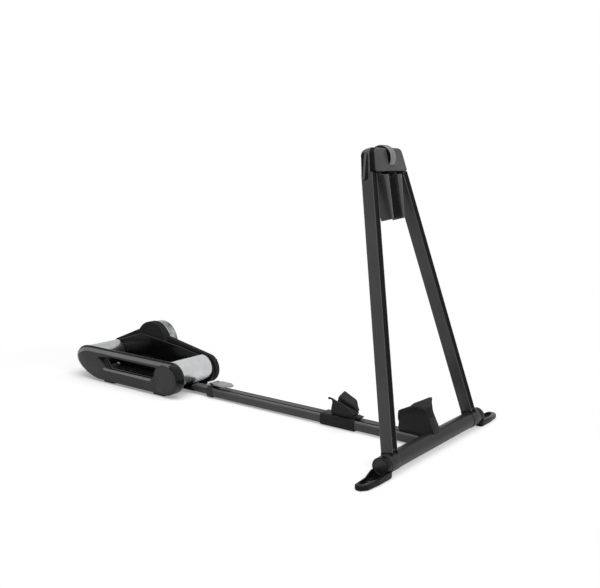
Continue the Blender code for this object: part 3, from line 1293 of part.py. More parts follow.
def base_of_unit(unit):
    """Tray between the sides, inner rail with its tongue, and the rubber pads."""
    right_y = SIDE_INNER_Y - 0.010
    left_y = HOUSING_INNER_Y + 0.010
    outline = [(TRAY_REAR_X + 0.090, right_y), (TRAY_REAR_X + 0.035, right_y + 0.060),
               (TRAY_REAR_X, right_y + 0.110), (TRAY_REAR_X, left_y), (TRAY_FRONT_X, left_y),
               (TRAY_FRONT_X, right_y)]
    plate("base_tray", [outline], TRAY_TOP - TRAY_THICKNESS, TRAY_TOP, "XY", unit, "black_alloy")
    section = rail_section(-RAIL_WALL - RAIL_SLIP, 0.0025)
    hole = rail_section(-RAIL_WALL - RAIL_SLIP - 0.003, 0.001)
    rail = plate("rear_rail", [section, hole], INNER_RAIL_STEP_X, INNER_RAIL_FRONT_X, "YZ", unit,
                 "black_alloy")
    half = RAIL_WIDTH / 2 - RAIL_WALL - RAIL_SLIP
    tongue = box("rail_tongue", (INNER_RAIL_REAR_X, -half, TONGUE_BOTTOM),
                 (INNER_RAIL_STEP_X + 0.012, half, TONGUE_TOP), unit)
    cut(rail, tongue, "UNION")
    side_middle = (SIDE_OUTER_Y + SIDE_INNER_Y) / 2
    cover_middle = (HOUSING_SEAM_Y + HOUSING_OUTER_Y) / 2
    half = PAD_LENGTH / 2
    width = PAD_WIDTH / 2
    for side, middle, height in (("right", side_middle, SIDE_BOTTOM_Z), ("left", cover_middle,
                                                                        HOUSING_BOTTOM_Z)):
        for end, x in (("front", FRONT_PAD_X), ("rear", REAR_PAD_X)):
            loop = rounded_rectangle((x - half, middle - width), (x + half, middle + width), 0.006, 3)
            plate(side + "_" + end + "_pad", [loop], 0.0, height - GAP, "XY", unit, "rubber")


def roller_unit(base):
    right_side(base)
    for name, place in drum_places().items():
        drum(name + "_drum", place, base)
    bearings(base)
    left_housing(base)
    left_plate(base)
    flywheel(base)
    belt(base)
    brake(base)
    electronics(base)
    base_of_unit(base)


def build_trainer():
    base = empty("trainer_origin", (ORIGIN_SHIFT, 0.0, 0.0))
    crossbar(base)
    for side in (1, -1):
        foot(side, base)
        foot_trim(side, base)
    lever_ears(front_rail(base), base)
    cam_lever(base)
    front_cradle(base)
    rear_cradle(base)
    a_frame(base)
    roller_unit(base)


clear_scene()
PARTS = new_collection("roller_trainer")
CUTTERS = new_collection("cutters")
build_trainer()
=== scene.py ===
"""Looks for the wheel-on roller trainer: finishes, rounded shells, screws, studio and camera."""
import json
import math

import bmesh
import bpy
from mathutils import Matrix, Vector

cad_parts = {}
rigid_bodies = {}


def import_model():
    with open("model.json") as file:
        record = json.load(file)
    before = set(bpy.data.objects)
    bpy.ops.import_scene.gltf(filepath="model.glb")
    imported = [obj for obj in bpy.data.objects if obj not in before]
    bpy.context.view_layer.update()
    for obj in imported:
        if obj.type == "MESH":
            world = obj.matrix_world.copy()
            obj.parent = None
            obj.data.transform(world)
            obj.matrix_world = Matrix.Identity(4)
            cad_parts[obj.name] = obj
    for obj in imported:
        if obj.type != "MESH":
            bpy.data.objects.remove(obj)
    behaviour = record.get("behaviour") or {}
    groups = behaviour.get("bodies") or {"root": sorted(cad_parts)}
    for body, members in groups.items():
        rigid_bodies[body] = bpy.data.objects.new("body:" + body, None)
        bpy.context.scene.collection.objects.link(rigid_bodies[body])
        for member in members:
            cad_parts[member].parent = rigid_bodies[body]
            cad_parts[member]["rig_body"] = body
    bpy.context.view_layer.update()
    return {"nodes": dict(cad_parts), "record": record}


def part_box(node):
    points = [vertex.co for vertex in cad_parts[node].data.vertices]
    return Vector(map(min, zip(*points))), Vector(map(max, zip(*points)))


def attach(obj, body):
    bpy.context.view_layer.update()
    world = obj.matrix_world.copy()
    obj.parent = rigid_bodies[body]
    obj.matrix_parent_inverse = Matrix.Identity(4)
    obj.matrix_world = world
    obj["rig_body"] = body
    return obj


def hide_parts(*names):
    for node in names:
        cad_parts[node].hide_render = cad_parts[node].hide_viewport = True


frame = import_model()

NODES = frame["nodes"]
SLOT_OF = {part["node"]: part["material_slot"] for part in frame["record"]["subparts"]}
SIDES = ((1, "left"), (-1, "right"))

# Photograph: its width, and the focal length in its pixels; the camera's place, turn and pitch
PHOTO_WIDTH = 600
FOCAL_PIXELS = 812.81
SENSOR_WIDTH = 36.0
CAMERA_PLACE = (1.79085, -1.9693, 0.7925)
CAMERA_TURN_DEG = 37.872
CAMERA_PITCH_DEG = 9.033

# Frames: that of the folding legs, which lean to the rear, and that of the parts on the floor
CROSSBAR_LOW, CROSSBAR_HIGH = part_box("crossbar_tube")
HINGE_X = (CROSSBAR_LOW.x + CROSSBAR_HIGH.x) / 2
HINGE_Z = (CROSSBAR_LOW.z + CROSSBAR_HIGH.z) / 2
HINGE = (HINGE_X, 0.0, HINGE_Z)
LEAN = math.radians(13.3)
WORLD = Matrix.Identity(4)
A_FRAME = Matrix.Translation(HINGE) @ Matrix.Rotation(-LEAN, 4, "Y")
FROM_CROSSBAR = Matrix.Translation((HINGE_X, 0.0, 0.0))


# Node tree helpers

NOISE_LOW, NOISE_HIGH = 0.3, 0.7


def fill(tree, node, inputs):
    """Give each input named a value, or link another node's output to it."""
    for key, value in inputs.items():
        if isinstance(value, bpy.types.NodeSocket):
            tree.links.new(value, node.inputs[key])
        else:
            node.inputs[key].default_value = value


def add_node(tree, kind, inputs, output=0, **settings):
    """Add a node with its settings and inputs, and return one of its outputs."""
    node = tree.nodes.new(kind)
    for key, value in settings.items():
        setattr(node, key, value)
    fill(tree, node, inputs)
    return node.outputs[output]


def math_node(tree, operation, first, second):
    return add_node(tree, "ShaderNodeMath", {0: first, 1: second}, operation=operation)


def object_coordinates(tree, scale=(1, 1, 1), centre=(0.0, 0.0, 0.0)):
    """Object coordinates, moved to a centre and stretched."""
    return add_node(tree, "ShaderNodeMapping", {
        "Vector": add_node(tree, "ShaderNodeTexCoord", {}, "Object"),
        "Location": [-c * s for c, s in zip(centre, scale)], "Scale": scale})


def length_of(tree, vector):
    return add_node(tree, "ShaderNodeVectorMath", {0: vector}, "Value", operation="LENGTH")


def noise(tree, scale, detail, roughness=0.5, stretch=(1, 1, 1), vector=None):
    """A noise over stretched object coordinates, or over the vector given."""
    if vector is None:
        vector = object_coordinates(tree, stretch)
    return add_node(tree, "ShaderNodeTexNoise", {
        "Vector": vector, "Scale": scale, "Detail": detail, "Roughness": roughness})


def spread(tree, value, low, high):
    """A noise value mapped to the range low to high."""
    return add_node(tree, "ShaderNodeMapRange", {
        "Value": value, "From Min": NOISE_LOW, "From Max": NOISE_HIGH,
        "To Min": low, "To Max": high})


def tinted(tree, value, dark, light):
    """A colour between two tones, chosen by a noise value."""
    return add_node(tree, "ShaderNodeMix", {
        "A": (*dark, 1.0), "B": (*light, 1.0), "Factor": spread(tree, value, 0.0, 1.0)},
        "Result", data_type="RGBA")


def bumped(tree, height, depth, strength):
    return add_node(tree, "ShaderNodeBump", {
        "Height": height, "Distance": depth, "Strength": strength})


def new_material(name):
    material = bpy.data.materials.new(name)
    material.use_nodes = True
    tree = material.node_tree
    return material, tree, tree.nodes["Principled BSDF"]


# Finishes

def grained(name, cloud, dark, light, rough, patch=None, relief=None, metallic=0.0, shine=0.5):
    """A finish whose noises vary its tint, its roughness and its relief.

    Without a patch the cloud varies the roughness too. The relief is (noise, depth, strength),
    and where its noise is None it takes that of the roughness.
    """
    material, tree, shader = new_material(name)
    tint = noise(tree, *cloud)
    uneven = noise(tree, *patch) if patch else tint
    fill(tree, shader, {"Metallic": metallic, "Specular IOR Level": shine,
                        "Base Color": tinted(tree, tint, dark, light),
                        "Roughness": spread(tree, uneven, *rough)})
    if relief:
        grain, depth, strength = relief
        height = noise(tree, *grain) if grain else uneven
        fill(tree, shader, {"Normal": bumped(tree, height, depth, strength)})
    return material


def shades(tone, *shares):
    return tuple(tone * share for share in shares)


def anodised_alloy(name, tone, shine):
    """Black anodised extrusion: faint drawn lines and a satin sheen."""
    return grained(name, (9.0, 4.0), shades(tone, 0.85, 0.85, 0.85),
                   shades(tone, 1.15, 1.17, 1.22), (0.30, 0.42), (60.0, 4.0, 0.5, (60, 1, 1)),
                   ((1600.0, 2.0), 0.00004, 0.25), 0.2, shine)


def moulded_plastic(name, tone, rough, shine):
    """Black moulded plastic with a fine spark-eroded grain."""
    return grained(name, (14.0, 5.0), shades(tone, 0.85, 0.85, 0.85),
                   shades(tone, 1.2, 1.2, 1.25), rough, (45.0, 3.0),
                   ((1100.0, 3.0, 0.6), 0.00008, 0.35), 0.0, shine)


def moulded_rubber(name, tone):
    """Black rubber, matt and slightly pebbled."""
    material = grained(name, (40.0, 5.0), (tone * 0.7,) * 3, (tone * 1.3,) * 3, (0.68, 0.86),
                       shine=0.1)
    tree = material.node_tree
    cells = add_node(tree, "ShaderNodeTexVoronoi", {
        "Vector": object_coordinates(tree), "Scale": 1200.0})
    fill(tree, tree.nodes["Principled BSDF"], {"Normal": bumped(tree, cells, 0.00012, 0.4)})
    return material


def turned_metal(name, dark, light, rough, node=None):
    """Turned metal: fine rings round its rim and, if a node is given, round its axis too."""
    material, tree, shader = new_material(name)
    place = {"X": add_node(tree, "ShaderNodeSeparateXYZ", {
        "Vector": object_coordinates(tree)}, "Y")}
    if node:
        low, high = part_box(node)
        centre = ((low.x + high.x) / 2, 0.0, (low.z + high.z) / 2)
        place["Y"] = length_of(tree, object_coordinates(tree, (1, 0, 1), centre))
    rings = noise(tree, 2600.0, 3.0, 0.65, vector=add_node(tree, "ShaderNodeCombineXYZ", place))
    fill(tree, shader, {"Metallic": 1.0,
                        "Base Color": tinted(tree, noise(tree, 28.0, 2.0), dark, light),
                        "Roughness": spread(tree, rings, *rough),
                        "Normal": bumped(tree, rings, 0.00003, 0.3)})
    return material


def board_laminate():
    """Green circuit board with copper lines under the mask."""
    material, tree, shader = new_material("green_laminate")
    lines = add_node(tree, "ShaderNodeTexBrick", {
        "Vector": object_coordinates(tree), "Scale": 160.0, "Mortar Size": 0.03,
        "Color1": (0.010, 0.085, 0.030, 1.0), "Color2": (0.012, 0.100, 0.036, 1.0),
        "Mortar": (0.030, 0.170, 0.060, 1.0)})
    fill(tree, shader, {"Base Color": lines, "Roughness": 0.35})
    return material


# Material name, tone and specular level
ALLOYS = {
    "black_alloy": ("anodised_black_alloy", 0.030, 0.35),
    "bar": ("anodised_bar", 0.016, 0.2),
    # Painted shade: the rail's flat top is darker than its sides to stand in for how the light
    # falls on it
    "rail_top": ("rail_top_painted_shade", 0.014, 0.16),
    # Painted highlight: the rail's rounded upper edges are lighter to stand in for the light they
    # catch
    "rail_edge": ("rail_edge_painted_highlight", 0.070, 0.4),
}
# Material name, tone, least and most roughness, and specular level
PLASTICS = {
    "black_plastic": ("moulded_black_plastic", 0.022, (0.40, 0.52), 0.15),
    "disc": ("smooth_black_disc", 0.016, (0.24, 0.32), 0.25),
    "head": ("satin_black_cover", 0.038, (0.36, 0.46), 0.2),
    "trim_bar": ("trim_bar_plastic", 0.060, (0.30, 0.38), 0.3),
    "scoop": ("cradle_plastic", 0.010, (0.44, 0.56), 0.15),
    "sleeve": ("sleeve_plastic", 0.008, (0.44, 0.56), 0.12),
    "side": ("side_frame_plastic", 0.016, (0.34, 0.44), 0.2),
    "nose": ("polished_nose_plastic", 0.006, (0.14, 0.20), 0.12),
    # Painted highlight: the outer part of the side frame's sloped top is much lighter to stand in
    # for the light from above
    "side_top": ("side_frame_top_painted_highlight", 0.055, (0.34, 0.44), 0.3),
    "foot": ("foot_plastic", 0.004, (0.26, 0.34), 0.10),
    "side_shade": ("shaded_frame_plastic", 0.006, (0.50, 0.60), 0.03),
    # Painted light: the window sill is far lighter than the frame to stand in for the light falling
    # on it
    "sill": ("window_sill_painted_light", 0.17, (0.44, 0.54), 0.1),
    # Painted highlight: a lighter strip on the inner cover's rounded upper rim stands in for the
    # light it catches
    "rim_line": ("rim_painted_highlight_plastic", 0.045, (0.24, 0.30), 0.1),
    "cover": ("cover_plastic", 0.020, (0.56, 0.66), 0.008),
    # Painted shade: the tray and the rail's tongue are near-black so that the inside seen through
    # the side frame's window reads as deep shade; the head frame takes the same dull finish
    "tray": ("tray_coat_with_painted_shade", 0.0035, (0.60, 0.70), 0.02),
}
# Darkest and lightest tone, and least and most roughness
TURNED = {
    "front_drum": (0.50, 0.56, (0.22, 0.30)),
    "rear_drum": (0.38, 0.44, (0.24, 0.32)),
    # Painted reflection: the flywheel's wide cloud from dark to light tint stands in for the dark
    # and bright reflections on its rim
    "flywheel": (0.05, 0.40, (0.10, 0.18)),
}
FINISHES = {
    "rubber": moulded_rubber("moulded_rubber", 0.012),
    "belt_rubber": moulded_rubber("ribbed_belt_rubber", 0.015),
    # Near-black rubber of the housing seal and leg gaskets, and painted shade in the head's
    # recesses and band, the legs' grooves and the rail's slots
    "joint_and_painted_shade": moulded_rubber("joint_rubber_and_painted_shade", 0.004),
    "board_green": board_laminate(),
    # Gloss black of the inner belt cover, with faint rub marks
    "gloss_black": grained(
        "polished_black_plastic", (6.0, 3.0), (0.0020, 0.0020, 0.0023), (0.0045, 0.0045, 0.0050),
        (0.10, 0.24), (24.0, 6.0, 0.7, (1, 1, 7)), ((30.0, 1.0), 0.0003, 0.15), 0.0, 0.12),
    # Bead-blasted cast alloy
    "grey_alloy": grained(
        "cast_grey_alloy", (30.0, 5.0), shades(0.26, 0.86, 0.86, 0.86),
        shades(0.26, 1.14, 1.15, 1.17), (0.34, 0.48), None, ((900.0, 3.0), 0.00008, 0.4), 0.85),
    # Bright plated steel of pins, shafts, bearings and nuts
    "steel": grained(
        "plated_steel", (60.0, 4.0), (0.46, 0.47, 0.49), (0.60, 0.61, 0.63), (0.22, 0.38),
        (400.0, 3.0, 0.5, (1, 20, 1)), (None, 0.00002, 0.3), 1.0),
    # Black oxide screws
    "screw": grained(
        "blackened_steel", (300.0, 4.0), (0.025, 0.025, 0.027), (0.05, 0.05, 0.053),
        (0.3, 0.45), metallic=0.9),
    "dial_rim": turned_metal(
        "satin_wheel_rim", (0.15, 0.15, 0.155), (0.20, 0.20, 0.205), (0.34, 0.44)),
}
FINISHES.update({key: anodised_alloy(*values) for key, values in ALLOYS.items()})
FINISHES.update({key: moulded_plastic(*values) for key, values in PLASTICS.items()})
FINISHES.update({
    node: turned_metal("turned_" + node, shades(dark, 1, 1.01, 1.02),
                       shades(light, 1, 1.01, 1.02), rough, node)
    for node, (dark, light, rough) in TURNED.items()})

# Nodes whose finish isn't that of their slot
NODE_FINISH = {
    "front_drum": "front_drum", "rear_drum": "rear_drum", "flywheel": "flywheel",
    "dial_rim": "dial_rim", "left_foot": "foot", "right_foot": "foot", "latch_pin": "screw",
    "head_frame": "tray", "base_tray": "tray", "clamp_screw": "sleeve", "crossbar_tube": "bar",
    "left_knuckle": "bar", "right_knuckle": "bar", "cradle_latch": "scoop",
}


def finish_of(node):
    return FINISHES[NODE_FINISH.get(node, SLOT_OF[node])]


# Flat outlines, as lists of (u, v) points

def rectangle(left, right, low, high):
    return [(left, low), (right, low), (right, high), (left, high)]


def both_halves(half, flip=(-1, 1)):
    """A symmetric outline from one half of its points."""
    return half + [(flip[0] * u, flip[1] * v) for u, v in half[::-1]]


def mirrored(points, side):
    return [(x, side * y) for x, y in points]


def span(side, near, far):
    """Two distances from the middle as the lower and upper coordinate on one side."""
    return sorted((side * near, side * far))


def arc(centre, radius, start_deg, end_deg, count):
    """Points on an arc, both ends included."""
    angles = [math.radians(start_deg + (end_deg - start_deg) * i / count)
              for i in range(count + 1)]
    return [(centre[0] + radius * math.cos(a), centre[1] + radius * math.sin(a)) for a in angles]


def rounded_polygon(corners, radii, count=8):
    """A polygon with rounded corners, where no round takes more than its share of an edge."""
    points = []
    total = len(corners)
    if isinstance(radii, float):
        radii = [radii] * total
    for i, (corner, radius) in enumerate(zip(corners, radii)):
        here = Vector(corner)
        back = Vector(corners[i - 1]) - here
        ahead = Vector(corners[(i + 1) % total]) - here
        shortest = min(back.length, ahead.length)
        back.normalize()
        ahead.normalize()
        half = max(back.angle(ahead) / 2, 0.01)
        radius = min(radius, 0.45 * shortest * math.tan(half))
        if half > math.pi / 2 - 0.002:
            reach = 0.3 * shortest
            points += [tuple(here + back * reach * (1 - k / count) + ahead * reach * k / count)
                       for k in range(count + 1)]
            continue
        start = here + back * radius / math.tan(half)
        end = here + ahead * radius / math.tan(half)
        centre = here + (back + ahead).normalized() * radius / math.sin(half)
        for k in range(count + 1):
            mixed = (start - centre).lerp(end - centre, k / count).normalized()
            points.append(tuple(centre + mixed * radius))
    return points


def inset(loop, distance):
    """Move each point of a loop inwards, square to the outline."""
    total = len(loop)
    area = sum(a[0] * b[1] - b[0] * a[1] for a, b in zip(loop, loop[1:] + loop[:1]))
    side = 1.0 if area > 0 else -1.0
    moved_points = []
    for i, point in enumerate(loop):
        here = Vector(point)
        back = (here - Vector(loop[i - 1])).normalized()
        ahead = (Vector(loop[(i + 1) % total]) - here).normalized()
        across = Vector((-(back + ahead).y, (back + ahead).x)).normalized()
        stretch = max(0.5, across.dot(Vector((-ahead.y, ahead.x))))
        moved_points.append(tuple(here + across * (side * distance / stretch)))
    return moved_points


# Meshes

PLANES = {"XY": lambda u, v, w: (u, v, w), "XZ": lambda u, v, w: (u, w, v),
          "YZ": lambda u, v, w: (w, u, v)}
ALONG_Y = Matrix.Rotation(-math.pi / 2, 4, "X")
ROUND_STEPS = 96


def mesh_of(bm, name):
    mesh = bpy.data.meshes.new(name)
    bm.to_mesh(mesh)
    bm.free()
    return mesh


def skin(rings, closed=False):
    """Join loops of equal length into a solid, capped at both ends unless the rings close up."""
    bm = bmesh.new()
    rows = [[bm.verts.new(point) for point in ring] for ring in rings]
    pairs = list(zip(rows, rows[1:]))
    if closed:
        pairs.append((rows[-1], rows[0]))
    count = len(rows[0])
    for row, following in pairs:
        for i in range(count):
            j = (i + 1) % count
            bm.faces.new((row[i], row[j], following[j], following[i]))
    if not closed:
        bm.faces.new(rows[0])
        bm.faces.new(rows[-1])
    bmesh.ops.remove_doubles(bm, verts=bm.verts, dist=0.000001)
    bmesh.ops.recalc_face_normals(bm, faces=bm.faces)
    return mesh_of(bm, "skin")


def slab(loop, low, high, plane, low_round=0.0, high_round=0.0, steps=4):
    """An outline with a thickness, whose two rims are rounded."""
    turns = [math.pi / 2 * k / steps for k in range(steps + 1)]
    levels = [(low_round * (1 - math.sin(t)), low + low_round * (1 - math.cos(t)))
              for t in turns]
    levels += [(high_round * (1 - math.sin(t)), high - high_round * (1 - math.cos(t)))
               for t in turns[::-1]]
    kept = [level for i, level in enumerate(levels) if i == 0 or level != levels[i - 1]]
    return skin([[PLANES[plane](u, v, w) for u, v in inset(loop, away)] for away, w in kept])


def turned(profile, place, steps=ROUND_STEPS, wave=None):
    """Turn a closed outline of (radius, distance) points about an axis along Y through a place.

    wave, if given, is (count, depth, least radius): ribs cut along the axis into the outer skin.
    """
    matrix = Matrix.Translation(place) @ ALONG_Y
    rings = []
    for i in range(steps):
        angle = 2 * math.pi * i / steps
        ring = []
        for radius, distance in profile:
            if wave and radius > wave[2]:
                radius -= wave[1] * (0.5 - 0.5 * math.cos(wave[0] * angle))
            point = Vector((radius * math.cos(angle), radius * math.sin(angle), distance))
            ring.append(matrix @ point)
        rings.append(ring)
    return skin(rings, closed=True)


def turned_plate(profile, place, steps=ROUND_STEPS):
    """Turn (radius, y) points about an axis along Y, and close both ends with flat faces."""
    angles = [2 * math.pi * i / steps for i in range(steps)]
    centre = Vector(place)
    return skin([[centre + Vector((radius * math.cos(a), y, radius * math.sin(a)))
                  for a in angles] for radius, y in profile])


def disc(radius, low, high, place, edge=0.0, steps=ROUND_STEPS, bore=0.0):
    """A round plate or rod along Y, with rounded rims and a bore if they are given."""
    if bore:
        corners = rectangle(bore, radius, low, high)
        return turned(rounded_polygon(corners, edge, 4), place, steps)
    loop = arc((0.0, 0.0), radius, 0.0, 360.0, steps)[:-1]
    return moved(slab(loop, low, high, "XY", edge, edge), Matrix.Translation(place) @ ALONG_Y)


def block(low, high):
    return slab(rectangle(low[0], high[0], low[1], high[1]), low[2], high[2], "XY")


def moved(mesh, matrix):
    mesh.transform(matrix)
    return mesh


def linked(name, data):
    item = bpy.data.objects.new(name, data)
    bpy.context.scene.collection.objects.link(item)
    return item


def baked(helper):
    """Read a helper object as a mesh with its modifiers, and remove the helper."""
    bpy.context.view_layer.update()
    graph = bpy.context.evaluated_depsgraph_get()
    mesh = bpy.data.meshes.new_from_object(helper.evaluated_get(graph))
    bpy.data.objects.remove(helper, do_unlink=True)
    return mesh


def carved(mesh, cutters=(), unions=(), soften=0.0, sharp_deg=30.0):
    """A mesh with others joined to it, then others cut from it, then its new edges eased."""
    base = linked("helper", mesh)
    others = []
    for operation, group in (("UNION", unions), ("DIFFERENCE", cutters)):
        for other in group:
            others.append(linked("helper", other))
            modifier = base.modifiers.new("shape", "BOOLEAN")
            modifier.operation = operation
            modifier.solver = "EXACT"
            modifier.object = others[-1]
    if soften:
        bevel = base.modifiers.new("soft_edges", "BEVEL")
        bevel.width = soften
        bevel.segments = 2
        bevel.limit_method = "ANGLE"
        bevel.angle_limit = math.radians(sharp_deg)
        bevel.use_clamp_overlap = True
    made = baked(base)
    for other in others:
        bpy.data.objects.remove(other, do_unlink=True)
    return made


def add_piece(name, mesh, node, place, finish=None, stands_for=(), smooth_deg=32.0):
    """Set a mesh in its place as a piece that rides with a CAD node's body.

    It stands for the nodes given, and its finish is the node's own unless one is named.
    """
    piece = linked(name, moved(mesh, place))
    mesh.name = name
    mesh.materials.clear()
    mesh.materials.append(FINISHES[finish] if finish else finish_of(node))
    mesh.shade_smooth()
    mesh.set_sharp_from_angle(angle=math.radians(smooth_deg))
    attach(piece, NODES[node]["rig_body"])
    if stands_for:
        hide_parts(*stands_for)
    return piece


def replace_node(node, mesh, place=FROM_CROSSBAR, finish=None, smooth_deg=32.0):
    return add_piece(node + "_body", mesh, node, place, finish, [node], smooth_deg)


def softened(node, width, sharp_deg=30.0):
    """A piece in a CAD node's own shape, with its sharp edges rounded."""
    bm = bmesh.new()
    bm.from_mesh(NODES[node].data)
    bmesh.ops.remove_doubles(bm, verts=bm.verts, dist=0.000002)
    bmesh.ops.dissolve_limit(bm, angle_limit=math.radians(0.6), verts=bm.verts, edges=bm.edges)
    return replace_node(node, carved(mesh_of(bm, node), soften=width, sharp_deg=sharp_deg), WORLD)


def paint_faces(piece, finishes, choose):
    """Add finishes to a piece, and give each face the number that choose finds for it."""
    for finish in finishes:
        piece.data.materials.append(FINISHES[finish])
    for face in piece.data.polygons:
        face.material_index = choose(face)


def split_across(mesh, place, along):
    """Split the faces that cross a plane, so that each side takes its own finish."""
    bm = bmesh.new()
    bm.from_mesh(mesh)
    parts = bm.verts[:] + bm.edges[:] + bm.faces[:]
    bmesh.ops.bisect_plane(bm, geom=parts, plane_co=place, plane_no=along)
    bm.to_mesh(mesh)
    bm.free()


# Screws and ribs: one Geometry Nodes tree each, made plain meshes before they join the trainer

def new_tree(name, sizes):
    """A Geometry Nodes tree with named number inputs, its sockets and its two end nodes."""
    tree = bpy.data.node_groups.new(name, "GeometryNodeTree")
    kinds = {"Geometry": "Geometry", **{label: "Float" for label in sizes}, "Finish": "Material"}
    sockets = {label: tree.interface.new_socket(label, in_out="INPUT",
                                                socket_type="NodeSocket" + kind)
               for label, kind in kinds.items()}
    tree.interface.new_socket("Geometry", in_out="OUTPUT", socket_type="NodeSocketGeometry")
    given = tree.nodes.new("NodeGroupInput").outputs
    return tree, sockets, given, tree.nodes.new("NodeGroupOutput")


def close_tree(tree, given, ending, instance):
    """Put an instance on every point, make it real and give it its finish."""
    placed = add_node(tree, "GeometryNodeInstanceOnPoints", {
        "Points": given["Geometry"], "Instance": instance})
    real = add_node(tree, "GeometryNodeRealizeInstances", {"Geometry": placed})
    painted = add_node(tree, "GeometryNodeSetMaterial", {
        "Geometry": real, "Material": given["Finish"]})
    fill(tree, ending, {"Geometry": painted})


def screw_tree():
    """A button-head screw with a hexagon socket on every point."""
    tree, sockets, given, ending = new_tree(
        "socket_screws", ("Head Radius", "Head Height", "Socket Radius"))
    radius, height = given["Head Radius"], given["Head Height"]
    crown = add_node(tree, "GeometryNodeMeshCone", {
        "Vertices": 28, "Radius Bottom": radius, "Depth": height,
        "Radius Top": math_node(tree, "MULTIPLY", radius, 0.72)})
    socket = add_node(tree, "GeometryNodeMeshCylinder", {
        "Vertices": 6, "Radius": given["Socket Radius"], "Depth": height})
    raised = add_node(tree, "ShaderNodeCombineXYZ", {
        "Z": math_node(tree, "MULTIPLY", height, 0.75)})
    lifted = add_node(tree, "GeometryNodeTransform", {
        "Geometry": socket, "Translation": raised})
    cut = add_node(tree, "GeometryNodeMeshBoolean", {"Mesh 1": crown, "Mesh 2": lifted},
                   operation="DIFFERENCE", solver="EXACT")
    close_tree(tree, given, ending, cut)
    return tree, sockets


def rib_tree():
    """A straight rib on every point, along local X."""
    tree, sockets, given, ending = new_tree("straight_ribs", ("Length", "Width", "Height"))
    size = add_node(tree, "ShaderNodeCombineXYZ", {
        "X": given["Length"], "Y": given["Width"], "Z": given["Height"]})
    close_tree(tree, given, ending, add_node(tree, "GeometryNodeMeshCube", {"Size": size}))
    return tree, sockets


SCREWS = screw_tree()
RIBS = rib_tree()


def grown(kind, places, sizes, finish):
    """Run a tree on points given in a local plane, and return a plain mesh."""
    tree, sockets = kind
    points = bpy.data.meshes.new("places")
    points.from_pydata([Vector(place) for place in places], [], [])
    helper = linked("helper", points)
    modifier = helper.modifiers.new("grown", "NODES")
    modifier.node_group = tree
    for label, value in {**sizes, "Finish": FINISHES[finish]}.items():
        modifier[sockets[label].identifier] = value
    return baked(helper)


def add_screws(name, node, places, matrix, radius=0.0032, height=0.0022):
    """Socket screws whose heads stand along local Z of a matrix."""
    sizes = {"Head Radius": radius, "Head Height": height, "Socket Radius": radius * 0.5}
    add_piece(name, grown(SCREWS, places, sizes, "screw"), node, matrix, "screw")


# A-frame: legs, knuckles and crossbar

LEG_BASE_Y = 0.232
LEG_TOP_Y = 0.0665
HEAD_TOP = 0.832
HEAD_BOTTOM = 0.757
LEG_ANGLE = math.atan2(LEG_BASE_Y - LEG_TOP_Y, HEAD_TOP)
LEG_COS, LEG_SIN = math.cos(LEG_ANGLE), math.sin(LEG_ANGLE)
LEG_DEPTH = 0.037
LEG_WIDTH = 0.026
LEG_CORNER = 0.0032
FRONT_CORNER = 0.002
GROOVE_WIDTH = 0.02
GROOVE_DEPTH = 0.0045
GROOVE_LIP = 0.0006
STRIP_HEIGHT = 0.0016
GASKET_HEIGHT = 0.006
GASKET_PROUD = 0.0005
GAP = 0.0003
KNUCKLE_RADIUS = 0.0252
HINGE_BORE = 0.0165
SPIGOT_INSET = 0.004
SPIGOT_LOW, SPIGOT_HIGH = 0.0205, 0.05
DISH_DEPTH = 0.0006


def leg_place(side, base=A_FRAME):
    return (base @ Matrix.Translation((0.0, side * LEG_BASE_Y, 0.0))
            @ Matrix.Rotation(side * LEG_ANGLE, 4, "X"))


def leg_section(grow=0.0):
    """The extrusion's outline, with a wide groove in its front face."""
    half_x = LEG_DEPTH / 2 + grow
    half_y = LEG_WIDTH / 2 + grow
    lip = GROOVE_WIDTH / 2 - grow
    floor = half_x - GROOVE_DEPTH
    corners = [(half_x, -half_y), (half_x, -lip), (floor, -lip), (floor, lip), (half_x, lip),
               (half_x, half_y), (-half_x, half_y), (-half_x, -half_y)]
    radii = [FRONT_CORNER] + [GROOVE_LIP] * 4 + [FRONT_CORNER, LEG_CORNER, LEG_CORNER]
    return rounded_polygon(corners, radii, 5)


def saddle(loop, side, radius):
    """A leg's section brought down on a round about the hinge axis."""
    return [(x, y, (math.sqrt(radius ** 2 - x ** 2) - side * y * LEG_SIN) / LEG_COS)
            for x, y in loop]


def add_leg(side, name):
    """The extruded leg, its rubber gasket at the knuckle, whose near-black tone also paints the
    shade of the joint, and a near-black strip that paints the shade in its groove.
    """
    leg = name + "_leg"
    place = leg_place(side)
    low = KNUCKLE_RADIUS + GAP
    foot = low + GASKET_HEIGHT
    top = (HEAD_BOTTOM + LEG_WIDTH / 2 * LEG_SIN) / LEG_COS - GAP
    loop = leg_section()
    start = 0.02 * top + 0.98 * 0.03
    rings = [saddle(loop, side, foot)] + [[(x, y, z) for x, y in loop] for z in (start, top)]
    replace_node(leg, skin(rings), place)
    # The gasket ring's near-black rubber also paints the shade in the joint between leg and knuckle
    wide = leg_section(GASKET_PROUD)
    gasket = skin([saddle(wide, side, reach) for reach in (low, foot - GAP / 3)])
    add_piece(leg + "_gasket", gasket, leg, place, "joint_and_painted_shade")
    # Painted shade: a near-black strip lies on the groove's floor to stand in for the shade inside
    # the groove
    floor = LEG_DEPTH / 2 - GROOVE_DEPTH
    half = GROOVE_WIDTH / 2 - 0.0007
    strip = rounded_polygon(rectangle(floor + 0.0001, floor + STRIP_HEIGHT, -half, half),
                            [0.0002, 0.0006, 0.0006, 0.0002], 3)
    strip = slab(strip, foot + 0.002, top - 0.002, "XY", 0.0004, 0.0004, 2)
    add_piece(name + "_groove_shade_strip", strip, leg, place, "joint_and_painted_shade")


